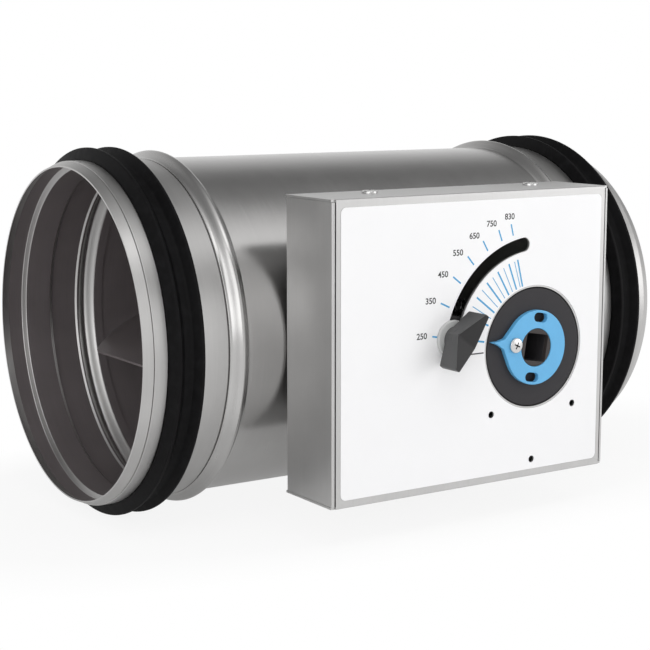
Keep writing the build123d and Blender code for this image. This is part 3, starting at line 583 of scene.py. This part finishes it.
def beadRun(base, side):  # points over one bead, from the outer side inwards
    steps = casing["beadSteps"]
    xs = [casing["beadCentre"] + casing["beadWidth"] * (0.5 - k / steps) for k in range(steps + 1)]
    return [(side * x, beadRadius(x, base)) for x in xs]


def casingMesh():
    edge = casing["edge"]
    outer = ductRadius
    inner = ductRadius - casing["sheet"]
    end = casing["jointX"]
    profile = [(end, inner + edge), (end, outer - edge), (end - edge, outer)]
    profile += beadRun(outer, 1)
    profile += [(x, outer) for x in casing["stations"]]
    profile += beadRun(outer, -1)[::-1]
    profile += [(-end + edge, outer), (-end, outer - edge), (-end, inner + edge), (-end + edge, inner)]
    profile += beadRun(inner, -1)
    profile += [(x, inner) for x in casing["stations"][::-1]]
    profile += beadRun(inner, 1)[::-1]
    profile += [(end - edge, inner)]
    return spun(profile, casing["around"])


finished("ductCasing", faceInside(casingMesh()), "duct", "root", ["casing_tube"],
         second="inside")


print("spigots and seals")
spigot = {"halfLength": nodeBox("outlet_spigot")[1].x, "rimWidth": 4.1, "rimDrop": 2.1, "rimStep": 0.35,
          "lead": 6.4, "grooveWidth": 12.5, "grooveDepth": 2.5, "frontRun": 2.5, "backRun": 1.5, "gap": 0.05,
          "joggleStart": 0.9, "joggleEnd": 0.1, "tail": 4.0, "innerStep": 0.6, "hemDepth": 0.45,
          "hemFrom": 0.12, "hemRise": 0.3, "hemTo": 0.5, "hemEdge": 0.1,
          "bends": (0.3, 0.1, 0.0, 0.1, 0.2, 0.5, 0.8, 0.8, 0.8, 0.5, 0.4),
          "innerBends": (0.3, 0.8, 0.5, 0.5, 1.5, 1.2, 0.5, 0.5)}
rimX = spigot["halfLength"] - spigot["rimWidth"]
grooveFront = rimX - spigot["lead"]
grooveBack = grooveFront - spigot["grooveWidth"] - spigot["frontRun"] - spigot["backRun"]


def spigotMesh(side):  # the outer and the inner side of the sheet
    sheet = casing["sheet"]
    inner = ductRadius - sheet - spigot["gap"]
    floor = ductRadius - spigot["grooveDepth"]
    joint = casing["jointX"]
    skin = [
        (spigot["halfLength"], ductRadius - spigot["rimDrop"]),
        (rimX, ductRadius - spigot["rimStep"]),
        (rimX - spigot["hemFrom"], ductRadius - spigot["rimStep"] - spigot["hemDepth"]),
        (rimX - spigot["hemRise"], ductRadius - spigot["hemEdge"]),
        (rimX - spigot["hemTo"], ductRadius),
        (grooveFront, ductRadius),
        (grooveFront - spigot["frontRun"], floor),
        (grooveBack + spigot["backRun"], floor),
        (grooveBack, ductRadius),
        (joint + spigot["joggleStart"], ductRadius),
        (joint + spigot["joggleEnd"], inner),
    ]
    inside = [
        (spigot["halfLength"], ductRadius - spigot["rimDrop"] - sheet),
        (rimX, ductRadius - spigot["rimStep"] - sheet),
        (grooveFront - spigot["innerStep"], ductRadius - sheet),
        (grooveFront - spigot["frontRun"] + spigot["innerStep"], floor - sheet),
        (grooveBack + spigot["backRun"], floor - sheet),
        (grooveBack, ductRadius - sheet),
        (joint + spigot["joggleStart"], ductRadius - sheet),
        (joint + spigot["joggleEnd"], inner - sheet),
    ]
    tail = casing["beadCentre"] - casing["beadWidth"] / 2 - spigot["tail"]
    outer = rounded(skin, spigot["bends"], steps=5, closed=False)
    under = rounded(inside, spigot["innerBends"], closed=False)
    outer += beadRun(inner, 1) + [(tail, inner)]
    under += beadRun(inner - sheet, 1) + [(tail, inner - sheet)]
    profile = [(side * x, radius) for x, radius in outer + under[::-1]]
    return spun(profile, casing["around"])


seal = {"crest": nodeBox("outlet_seal")[1].z, "tipRadius": 0.6, "valley": 1.7, "inset": 0.75,
        "backRun": 3.6, "foot": 0.2, "lift": 0.05, "backStep": 0.5, "backDrop": 3.2, "frontStep": 0.1,
        "frontRise": 1.0, "bends": (0.2, 0.5, 0.5, 0.2, 1.6, 0.6, 0.6, 2.2, 2.2, 0.6, 0.6, 0.6)}


def sealMesh(side):
    floor = ductRadius - spigot["grooveDepth"] + seal["lift"]
    front = grooveFront - spigot["frontRun"] - seal["inset"]
    back = grooveBack + spigot["backRun"] + seal["tipRadius"]
    crest = seal["crest"]
    valley = ductRadius + seal["valley"]
    tip = seal["tipRadius"]
    run = seal["backRun"]
    outline = [
        (grooveFront - seal["foot"], ductRadius + seal["lift"]),
        (grooveFront - spigot["frontRun"], floor),
        (grooveBack + spigot["backRun"], floor),
        (grooveBack + seal["foot"], ductRadius + seal["lift"]),
        (grooveBack + seal["foot"] + seal["backStep"], crest - seal["backDrop"]),
        (back - tip, crest),
        (back + tip, crest),
        (back + run, valley),
        (front - run, valley),
        (front - tip, crest),
        (front + tip, crest),
        (grooveFront - seal["foot"] - seal["frontStep"], ductRadius + seal["frontRise"]),
    ]
    profile = rounded([(side * x, radius) for x, radius in outline], seal["bends"])
    return spun(profile, casing["around"])


for end, side in (("inlet", -1), ("outlet", 1)):
    finished(end + "Spigot", faceInside(spigotMesh(side)), "end", "root", [end + "_spigot"],
             second="inside")
    finished(end + "Seal", sealMesh(side), "rubber", "root", [end + "_seal"])


print("scale box")
coverLow, coverHigh = nodeBox("box_cover")
baseLow, baseHigh = nodeBox("box_base")
labelLow, labelHigh = nodeBox("scale_label")
box = {"left": baseLow.x, "right": baseHigh.x, "back": baseHigh.y, "front": coverLow.y, "top": coverHigh.z,
       "sheet": 1.0, "wallBend": 1.4, "flangeBend": 0.9, "plateGap": 0.6, "flangeGap": 0.1, "edge": 0.12,
       "lipRound": 0.25, "tabDepth": 18.0, "tabInset": 7.0}
driveHoles, lowerHole = mounts["drive_holes"], mounts["lower_drive_hole"]
dial = {"x": jointPlace("setting_turn").x, "z": jointPlace("setting_turn").z, "radius": 27.3, "gap": 0.6,
        "rimShow": 0.8, "slotShow": 0.2, "slotRadius": 48.15, "slotWidth": 6.3, "slotFrom": 98.0,
        "slotTo": 173.0, "holeRadius": driveHoles["dims"]["hole_r_mm"],
        "holeSpacing": driveHoles["dims"]["spacing_x_mm"], "holeZ": driveHoles["pos_m"][2] / mm,
        "lowerHoleZ": lowerHole["pos_m"][2] / mm, "startAngle": 170.3}


def slotOutline(extra):  # the arc slot of the clamp
    half = dial["slotWidth"] / 2 + extra
    ends = []
    for angle, turn in ((dial["slotTo"], 0), (dial["slotFrom"], 180)):
        x, z = polar(dial["slotRadius"], angle, dial["x"], dial["z"])
        ends.append(arcPoints(x, z, half, angle + turn, angle + turn + 180, steps=14))
    radius, start, end = dial["slotRadius"], dial["slotFrom"], dial["slotTo"]
    outer = arcPoints(dial["x"], dial["z"], radius + half, start, end, steps=40)
    inner = arcPoints(dial["x"], dial["z"], radius - half, end, start, steps=40)
    return outer[1:-1] + ends[0] + inner[1:-1] + ends[1]


def faceHoles(moreDisc, moreSlot):
    opening = dial["radius"] + dial["gap"] + moreDisc
    holes = [circle(dial["x"], dial["z"], opening, steps=128), slotOutline(moreSlot)]
    half = dial["holeSpacing"] / 2
    for x, z in ((-half, dial["holeZ"]), (half, dial["holeZ"]), (0.0, dial["lowerHoleZ"])):
        holes.append(circle(dial["x"] + x, z, dial["holeRadius"], steps=32))
    return holes


def roundedRectangle(left, right, low, high, radius, steps):
    corners = [(left, low), (right, low), (right, high), (left, high)]
    return rounded(corners, [radius] * 4, steps)


plateLeft = box["left"] + box["wallBend"] + box["plateGap"]
plateRight = box["right"] - box["wallBend"] - box["plateGap"]


def coverMesh():
    bend, sheet, top = box["flangeBend"], box["sheet"], box["top"]
    inside = top - sheet
    flat = top - bend
    outline = [(plateLeft, -flat), (plateRight, -flat), (plateRight, flat), (plateLeft, flat)]
    parts = [plate([outline] + faceHoles(0, 0), box["front"] + sheet, box["front"])]
    for side in (-1, 1):
        corner = [(box["front"], side * (top - bend)), (box["front"], side * top),
                  (box["front"] + 2 * bend, side * top)]
        outer = rounded(corner, [0, bend, 0], closed=False)[:-1]
        strip = outer + [(box["front"] + bend, side * inside), (box["front"] + sheet, side * (top - bend))]
        parts.append(extruded(strip, "X", plateLeft, plateRight))
        flange = [(box["front"] + bend, side * top), (box["back"], side * top), (box["back"], side * inside),
                  (box["front"] + bend, side * inside)]
        parts.append(extruded(flange, "X", box["left"], box["right"]))
    return joined("cover", *parts)


def baseMesh():
    sheet, bend = box["sheet"], box["wallBend"]
    top = box["top"] - sheet - box["flangeGap"]
    left, right, back, front = box["left"], box["right"], box["back"], box["front"]
    lip = left + bend
    lipRight = right - bend
    outline = [  # along X, along Y and the bend's radius
        (lip, front, box["lipRound"]), (left, front, bend), (left, back, bend), (right, back, bend),
        (right, front, bend), (lipRight, front, box["lipRound"]), (lipRight, front + sheet, 0.0),
        (right - sheet, front + sheet, bend - sheet), (right - sheet, back - sheet, bend - sheet),
        (left + sheet, back - sheet, bend - sheet), (left + sheet, front + sheet, bend - sheet),
        (lip, front + sheet, 0.0),
    ]
    walls = rounded([point[:2] for point in outline], [point[2] for point in outline])
    parts = [extruded(walls, "Z", -top, top)]
    for side in (-1, 1):
        low, high = sorted((side * top, side * (top - sheet)))
        end = back - box["tabDepth"]
        tab = [(back - sheet, low), (end, low), (end, high), (back - sheet, high)]
        parts.append(extruded(tab, "X", left + box["tabInset"], right - box["tabInset"]))
    return joined("base", *parts)


finished("boxBase", baseMesh(), "sheet", "root", ["box_base"], bevel=box["edge"],
         sharpAngle=40.0)
finished("boxCover", coverMesh(), "sheet", "root", ["box_cover"], sharpAngle=25.0)

label = {"corner": 2.6, "edge": 0.06}
labelOutline = roundedRectangle(labelLow.x, labelHigh.x, labelLow.z, labelHigh.z, label["corner"], steps=10)
foilOutlines = [labelOutline] + faceHoles(dial["rimShow"], dial["slotShow"])
foilMesh = plate(foilOutlines, labelHigh.y, labelLow.y, label["edge"])
finished("scaleFoil", foilMesh, "foil", "root", ["scale_label"])


print("scale print")
# Ticks are given by their inner and outer radius and their width, numbers by their middle on the label
scalePrint = {"numbers": (250, 350, 450, 550, 650, 750, 830), "halves": (400, 500, 600, 700, 800),
              "thickness": 0.02, "sunk": 0.005, "outer": (53.8, 59.2, 0.75), "thick": (29.4, 42.3, 0.85),
              "thin": (29.6, 42.0, 0.4), "zero": (29.4, 36.5, 0.6), "zeroAngle": 180.0, "fall": 5.08,
              "wide": 5.6, "tall": 2.8, "boldness": 0.02}
numberPlaces = {830: (19.0, 55.2), 750: (8.7, 52.5), 650: (-1.0, 47.6), 550: (-10.1, 40.6),
                450: (-18.3, 31.5), 350: (-24.9, 20.2), 250: (-29.6, 4.9)}
labelFront = labelLow.y


def scaleAngle(flow):  # the angle falls evenly with the flow's root
    return dial["startAngle"] - scalePrint["fall"] * (sqrt(flow) - sqrt(scalePrint["numbers"][0]))


def tick(angle, inner, outer, width):
    corners = [(inner, -width / 2), (outer, -width / 2), (outer, width / 2), (inner, width / 2)]
    outline = turned(corners, angle, dial["x"], dial["z"])
    return plate([outline], labelFront + scalePrint["sunk"], labelFront - scalePrint["thickness"])


def numberMesh(value):
    curve = bpy.data.curves.new("number", "FONT")
    curve.body = str(value)
    curve.align_x = "CENTER"
    curve.align_y = "CENTER"
    curve.offset = scalePrint["boldness"]
    holder = bpy.data.objects.new("number", curve)
    scene.collection.objects.link(holder)
    bpy.context.view_layer.update()
    flat = bpy.data.meshes.new_from_object(holder)
    bpy.data.objects.remove(holder)
    xs = [v.co.x for v in flat.vertices]
    ys = [v.co.y for v in flat.vertices]
    centre = Vector(((min(xs) + max(xs)) / 2, (min(ys) + max(ys)) / 2, 0))
    wide = scalePrint["wide"] * mm / (max(xs) - min(xs))
    tall = scalePrint["tall"] * mm / (max(ys) - min(ys))
    x, z = numberPlaces[value]
    move = Matrix.Translation((x * mm, (labelFront - scalePrint["thickness"]) * mm, z * mm))
    flat.transform(move @ Matrix.Rotation(pi / 2, 4, "X") @ Matrix.Diagonal((wide, tall, 1, 1))
                   @ Matrix.Translation(-centre))
    work = bmesh.new()
    work.from_mesh(flat)
    sheetFaces = bmesh.ops.extrude_face_region(work, geom=work.faces)
    moved = [item for item in sheetFaces["geom"] if isinstance(item, bmesh.types.BMVert)]
    bmesh.ops.translate(work, verts=moved, vec=(0, scalePrint["thickness"] * mm, 0))
    work.to_mesh(flat)
    work.free()
    return flat


blueTicks = [tick(scaleAngle(flow), *scalePrint["outer"]) for flow in scalePrint["numbers"]]
blueTicks += [tick(scaleAngle(flow), *scalePrint["thick"]) for flow in scalePrint["numbers"]]
blueTicks += [tick(scaleAngle(flow), *scalePrint["thin"]) for flow in scalePrint["halves"]]
finished("scaleTicks", joined("ticks", *blueTicks), "blueInk", "root", ())
blackMarks = [numberMesh(flow) for flow in scalePrint["numbers"]]
blackMarks += [tick(scalePrint["zeroAngle"], *scalePrint["zero"])]
finished("scaleNumbers", joined("numbers", *blackMarks), "blackInk", "root", ())


print("dial")
discFront = nodeBox("setting_disc")[0].y
hubBack = nodeBox("setting_disc")[1].y
boltPlace = jointPlace("knob_turn")
skirtGap = 0.5
disc = {"thickness": 4.2, "edge": 0.35, "skirtRadius": 31.0, "skirtThickness": 3.0, "armWidth": 20.0,
        "armFront": box["front"] + box["sheet"] + skirtGap, "armEdge": 0.2, "hubRadius": 12.0, "hubEdge": 0.1,
        "lap": 0.01, "square": 12.6, "squareCorner": 1.3, "boltRadius": 2.5, "screwRadius": 12.7,
        "screwTurn": 25}
collar = {"gap": 0.15, "below": 0.25, "lap": 0.05, "edge": 0.2}
ring = {"radius": 17.3, "bore": 8.9, "thickness": 2.4, "shoulder": 19.3, "shoulderAngle": 7.0, "tip": 26.2,
        "tipHalf": 0.12, "tipRound": 0.1, "hollow": 0.35, "slotRadius": 13.9, "slotLength": 7.8,
        "slotWidth": 4.3, "edge": 0.28, "screwHole": 0.6}


def onDial(points):  # from a plan with its tip along +X
    return turned(points, dial["startAngle"], dial["x"], dial["z"])


def ringSlot(side):
    half = ring["slotWidth"] / 2
    reach = (ring["slotLength"] - ring["slotWidth"]) / 2
    right = arcPoints(reach, side * ring["slotRadius"], half, -90, 90, steps=12)
    left = arcPoints(-reach, side * ring["slotRadius"], half, 90, 270, steps=12)
    return onDial(right + left)


def squareHole():
    half = disc["square"] / 2
    return onDial(roundedRectangle(-half, half, -half, half, disc["squareCorner"], steps=5))


def discMesh():
    rim = circle(dial["x"], dial["z"], dial["radius"], steps=160)
    face = plate([rim, squareHole(), ringSlot(1), ringSlot(-1)], discFront + disc["thickness"], discFront,
                 disc["edge"], edgeSteps=3)
    half = disc["armWidth"] / 2
    skirt = disc["skirtRadius"]
    meet = degrees(Vector((sqrt(skirt ** 2 - half ** 2), half)).angle(Vector((1, 0))))
    outline = arcPoints(0, 0, skirt, meet, 360 - meet, steps=90)
    outline += arcPoints(dial["slotRadius"], 0, half, -90, 90, steps=24)
    boltHole = circle(boltPlace.x, boltPlace.z, disc["boltRadius"], steps=40)
    armBack = disc["armFront"] + disc["skirtThickness"]
    arm = plate([onDial(outline), squareHole(), boltHole], armBack, disc["armFront"], disc["armEdge"])
    hub = plate([circle(dial["x"], dial["z"], disc["hubRadius"], steps=72), squareHole()], hubBack,
                armBack - disc["lap"], disc["hubEdge"])
    return joined("disc", face, arm, hub)


def collarMesh():  # the collar of the socket, which centres the ring
    front = discFront - ring["thickness"] + collar["below"]
    outside = circle(dial["x"], dial["z"], ring["bore"] - collar["gap"])
    return plate([outside, squareHole()], discFront + collar["lap"], front, collar["edge"])


def ringMesh():
    shoulder, lean = ring["shoulder"], ring["shoulderAngle"]
    touch = Vector((ring["radius"], sqrt(shoulder ** 2 - ring["radius"] ** 2)))
    tangent = lean + degrees(touch.angle(Vector((1, 0))))
    outline = arcPoints(0, 0, ring["radius"], tangent, 360 - tangent, steps=110)
    upper = polar(shoulder, lean)
    lower = polar(shoulder, -lean)
    middle = ((upper[0] + ring["tip"]) / 2, upper[1] / 2 - ring["hollow"])
    tip, half = ring["tip"], ring["tipHalf"]
    outline += [lower, (middle[0], -middle[1]), (tip, -half), (tip + ring["tipRound"], 0.0), (tip, half),
                middle, upper]
    holes = [circle(dial["x"], dial["z"], ring["bore"]), ringSlot(1), ringSlot(-1)]
    holes.append(circle(*screwPlace, screw["headRadius"] * ring["screwHole"], steps=32))
    front = discFront - ring["thickness"]
    return plate([onDial(outline)] + holes, discFront, front, ring["edge"], edgeSteps=3)


screwPlace = onDial([(disc["screwRadius"], 0)])[0]
finished("settingDisc", discMesh(), "disc", "setting", ["setting_disc"], sharpAngle=30.0)
finished("socketCollar", collarMesh(), "socket", "setting", (), sharpAngle=30.0)
finished("pointerRing", ringMesh(), "pointer", "setting", ["pointer_ring"], sharpAngle=30.0)
pointerHead = panHead()
ringFront = Vector((screwPlace[0], discFront - ring["thickness"], screwPlace[1]))
screwTurned = Matrix.Rotation(radians(disc["screwTurn"]), 4, "Y")
pointerHead.transform(Matrix.Translation(ringFront * mm) @ screwTurned)
finished("pointerScrew", pointerHead, "zinc", "setting", ["pointer_screw"], sharpAngle=40.0,
         second="recess")


print("cover screws")
coverScrew = {"spacing": 92.0, "offset": 4.8, "depth": 13.5, "turns": (25, 70, 10, 50)}
heads = []
for number, turn in enumerate(coverScrew["turns"]):
    way = 1 if number < 2 else -1
    x = coverScrew["offset"] + (number % 2 - 0.5) * coverScrew["spacing"]
    head = panHead()
    place = Vector((x, box["back"] - coverScrew["depth"], way * box["top"]))
    upright = Matrix.Rotation(-way * pi / 2, 4, "X")
    head.transform(Matrix.Translation(place * mm) @ upright @ Matrix.Rotation(radians(turn), 4, "Y"))
    heads.append(head)
finished("coverScrewHeads", joined("heads", *heads), "zinc", "root", ["cover_screws"],
         sharpAngle=40.0, second="recess")


print("washer and wing knob")
washer = {"radius": 8.5, "rim": 3.0, "bore": 2.5, "dish": 0.25, "bends": (0, 0.2, 0.7, 2.0, 0.1), "steps": 96}
washerLow, washerHigh = nodeBox("clamp_washer")


def washerMesh():
    low, high = washerLow.y, washerHigh.y
    outline = [(high, washer["bore"]), (high, washer["radius"]), (low + washer["dish"], washer["radius"]),
               (low, washer["radius"] - washer["rim"]), (low, washer["bore"])]
    return spun(rounded(outline, washer["bends"]), washer["steps"], "Y", (boltPlace.x, boltPlace.z))


finished("clampWasher", washerMesh(), "washer", "setting", ["clamp_washer"])

knob = {"back": nodeBox("wing_knob")[1].y, "front": nodeBox("wing_knob")[0].y, "hubRadius": 6.0,
        "hubLength": 6.0, "hubBends": (0, 0.3, 1.5, 0), "halfLength": 14.2, "middle": 6.2, "ends": 1.3,
        "lift": 0.7, "dip": 4.5, "tilt": 35.0, "edge": 0.7, "bore": 2.55, "frontFacing": 0.6,
        "steps": 80}


def knobMesh():
    long, middle, ends = knob["halfLength"], knob["middle"], knob["ends"]
    back = knob["back"] - knob["lift"]
    plan = [(long, ends), (0, middle), (-long, ends), (-long, -ends), (0, -middle), (long, -ends)]
    outline = turned(plan, 90 - knob["tilt"], boltPlace.x, boltPlace.z)
    points = [(x, back, z) for x, z in outline]
    for (along, _), (x, z) in zip(plan, outline):
        points.append((x, knob["front"] + (knob["dip"] if along == 0 else 0.0), z))
    faces = [tuple(range(5, -1, -1)), (6, 7, 10, 11), (7, 8, 9, 10)]
    faces += [(k, (k + 1) % 6, (k + 1) % 6 + 6, k + 6) for k in range(6)]
    wing = newMesh("wing", points, faces)
    hubFront = knob["back"] - knob["hubLength"]
    outline = [(knob["back"], knob["bore"]), (knob["back"], knob["hubRadius"]), (hubFront, knob["hubRadius"]),
               (hubFront, knob["bore"])]
    hub = spun(rounded(outline, knob["hubBends"]), knob["steps"], "Y", (boltPlace.x, boltPlace.z))
    whole = closedUp(joined("knob", wing, hub))
    for face in whole.polygons:  # the front facets take the second look, a darker copy of the knob plastic as painted shade
        face.material_index = int(face.normal.y < -knob["frontFacing"])
    return whole


finished("wingKnob", knobMesh(), "knob", "knob", ["wing_knob"], bevel=knob["edge"],
         sharpAngle=18.0, steps=3, second="knobFront")


print("tension spring")
coil = {"wire": 0.55, "sides": 10, "loop": 2.9, "neck": 1.6, "radius": 3.1, "pitch": 3.4, "turnSteps": 20}


def pinCentre(name):
    low, high = nodeBox(name)
    return (low + high) / 2


springLevel = sum(corner.y for corner in nodeBox("tension_spring")) / 2
springEnds = [Vector((pin.x, springLevel, pin.z)) for pin in (pinCentre("lever_pin"), pinCentre("arm_pin"))]


def springPath():  # along the spring, across it and towards its back
    span = (springEnds[1] - springEnds[0]).length
    start = coil["loop"] + coil["neck"]
    turns = round((span - 2 * start) / coil["pitch"])
    steps, loop = coil["turnSteps"], coil["loop"]
    circleTurns = [2 * pi * k / steps for k in range(steps + 1)]
    path = [(loop * cos(turn), loop * sin(turn), 0.0) for turn in circleTurns[1:]]
    path += [(start, 0.0, 0.0), (start, coil["radius"] / 2, 0.0)]
    for k in range(turns * steps + 1):
        turn = 2 * pi * k / steps
        along = start + (span - 2 * start) * k / (turns * steps)
        path.append((along, coil["radius"] * cos(turn), coil["radius"] * sin(turn)))
    path += [(span - start, coil["radius"] / 2, 0.0), (span - start, 0.0, 0.0)]
    path += [(span - loop * cos(turn), loop * sin(turn), 0.0) for turn in circleTurns[:-1]]
    way = (springEnds[1] - springEnds[0]).normalized()
    across = way.cross(Vector((0, 1, 0)))
    return [springEnds[0] + way * a + across * b + Vector((0, 1, 0)) * c for a, b, c in path]


def wireMesh(path):
    sides = coil["sides"]
    points = []
    side = Vector((0, 1, 0))
    for index, here in enumerate(path):
        way = path[min(index + 1, len(path) - 1)] - path[max(index - 1, 0)]
        side = (side - way * side.dot(way) / way.length_squared).normalized()
        up = way.normalized().cross(side)
        for k in range(sides):
            turn = 2 * pi * k / sides
            points.append(here + (side * cos(turn) + up * sin(turn)) * coil["wire"])
    faces = [tuple(range(sides)), tuple(range(len(points) - 1, len(points) - sides - 1, -1))]
    for row in range(len(path) - 1):
        for k in range(sides):
            here, after = row * sides + k, row * sides + (k + 1) % sides
            faces.append((here, here + sides, after + sides, after))
    return newMesh("wire", points, faces)


wirePath = springPath()
half = len(wirePath) // 2
springMiddle = (springEnds[0] + springEnds[1]) / 2
for name, path, first, last, low, high in (
        ("springLeverHalf", wirePath[:half + 1], "blade", "root", springEnds[0], springMiddle),
        ("springArmHalf", wirePath[half:], "root", "setting", springMiddle, springEnds[1])):
    bend = (first, last, low * mm, high * mm)
    finished(name, wireMesh(path), "spring", bend, ["tension_spring"], sharpAngle=60.0)


print("carried-over parts")
carried = {
    "sheet": ["upper_bracket", "lower_bracket"],
    "rivet": ["bracket_rivets"],
    "bush": ["front_bush", "rear_bush", "thrust_washer", "setting_bearing"],
    "blade": ["damper_blade"],
    "zinc": ["blade_shaft", "blade_screws", "shaft_clip", "shaft_lever", "lever_pin", "damper_screws",
             "stop_posts", "bearing_screws", "spring_arm", "arm_pin", "clamp_bolt"],
    "damper": ["damping_unit"],
    "rubber": ["stop_buffers"],
    "pinion": ["damper_pinion"],
}
for look, names in carried.items():
    for name in names:
        mesh = frame["nodes"][name].data
        mesh.materials.clear()
        mesh.materials.append(looks[look])


print("studio")
studio = {"floorZ": nodeBox("outlet_seal")[0].z, "floorSize": 6.0, "shadeCentre": 0.0, "shadeNear": 0.11,
          "shadeFar": 0.15, "shadeToEye": 0.88, "shadeToMetal": 0.3, "shadeSquash": 0.5}
floorColour = {"pale": 0.95, "duller": 0.93, "cloud": 1.5, "roughness": 0.9}
lamps = {
    "rightLight": {"place": (1.05, -0.95, 0.2), "target": (0.0, -0.1, 0.0), "size": (0.95, 0.95),
                   "radiance": 1.6},
    "overheadLight": {"place": (-0.2, -0.9, 1.45), "target": (0.0, -0.05, 0.0), "size": (1.6, 0.5),
                      "radiance": 1.1},
    "leftLight": {"place": (-1.05, -0.85, 0.4), "target": (0.0, -0.1, 0.0), "size": (1.0, 0.9),
                  "radiance": 1.35},
}


def area(name, place, target, size, radiance):  # a lamp by its own brightness, where 1 is white
    lamp = bpy.data.lights.new(name, "AREA")
    lamp.shape = "RECTANGLE"
    lamp.size, lamp.size_y = size
    lamp.energy = radiance * pi * size[0] * size[1]
    holder = bpy.data.objects.new(name, lamp)
    holder.location = place
    holder.rotation_euler = (Vector(target) - Vector(place)).to_track_quat("-Z", "Y").to_euler()
    scene.collection.objects.link(holder)


for name, values in lamps.items():
    area(name, **values)


def floorLook():  # white to the eye and in metal; near the part the white glow is faded out, painted shade that lets the floor's real lit shadow show
    look = newLook("paleFloor", roughness=floorColour["roughness"])
    cloud = look.noise(look.place(), floorColour["cloud"], detail=2.0)
    look.set("baseColor", look.mixed(cloud, grey(floorColour["duller"]), grey(floorColour["pale"])))
    x, y = look.axes()[:2]
    away = ((x * studio["shadeSquash"]) ** 2.0 + (y - studio["shadeCentre"]) ** 2.0) ** 0.5
    eye, metal, glass = look.rays()
    near, far = studio["shadeNear"], studio["shadeFar"]
    # painted shadow: the glow fades by distance from the part, deeper in metal than to the eye
    toEye = look.between(away, near, far, studio["shadeToEye"], 1.0)
    toMetal = look.between(away, near, far, studio["shadeToMetal"], 1.0)
    glow = look.node("ShaderNodeEmission", None, {"Color": (1, 1, 1), "Strength": 1.0})
    look.finish(look.maths("MINIMUM", eye * toEye + (metal + glass) * toMetal, 1.0), glow)
    return look.owner


size = studio["floorSize"] / 2
level = studio["floorZ"] * mm
floorMesh = bpy.data.meshes.new("floor")
floorCorners = [(-size, -size, level), (size, -size, level), (size, size, level), (-size, size, level)]
floorMesh.from_pydata(floorCorners, [], [(0, 1, 2, 3)])
floorMesh.materials.append(floorLook())
floor = bpy.data.objects.new("floor", floorMesh)
scene.collection.objects.link(floor)

# Brightness by the angle round the duct axis: 0 is the front horizon, 0.5 overhead and 1 the horizon behind
skyStops = [(0.0, 0.9), (0.12, 0.9), (0.17, 0.7), (0.21, 0.33), (0.265, 0.33), (0.30, 1.0), (0.34, 1.2),
            (0.40, 1.05), (0.45, 0.8), (0.50, 0.5), (0.56, 0.3), (0.66, 0.22), (0.72, 0.28), (0.80, 0.6),
            (0.88, 0.85), (0.95, 1.0)]


def skyLook():
    look = Look(bpy.data.worlds.new("studioWorld"), "Background", strength=1.0)
    direction = look.node("ShaderNodeTexCoord", output="Generated")
    y, z = [look.node("ShaderNodeSeparateXYZ", None, {0: direction}, axis) for axis in (1, 2)]
    turn = look.maths("ARCTAN2", look.maths("MAXIMUM", z, 0.0), y * -1.0)
    share = turn / pi
    stops = [(place, grey(level)) for place, level in skyStops]
    sky = look.node("ShaderNodeValToRGB", {"stops": stops}, {"Fac": share})
    look.set("color", look.mixed(look.rays()[0], sky, (1.0, 1.0, 1.0)))
    return look.owner


scene.world = skyLook()

camera = {"place": (-0.4466, -0.6758, 0.1192), "turn": (81.08, 0.0, -33.26), "lens": 89.19, "sensor": 36.0}
lens = bpy.data.cameras.new("camera")
lens.lens = camera["lens"]
lens.sensor_width = camera["sensor"]
viewer = bpy.data.objects.new("camera", lens)
viewer.location = camera["place"]
viewer.rotation_euler = [radians(turn) for turn in camera["turn"]]
scene.collection.objects.link(viewer)
scene.camera = viewer
scene.view_settings.view_transform = "Standard"

bpy.context.view_layer.update()
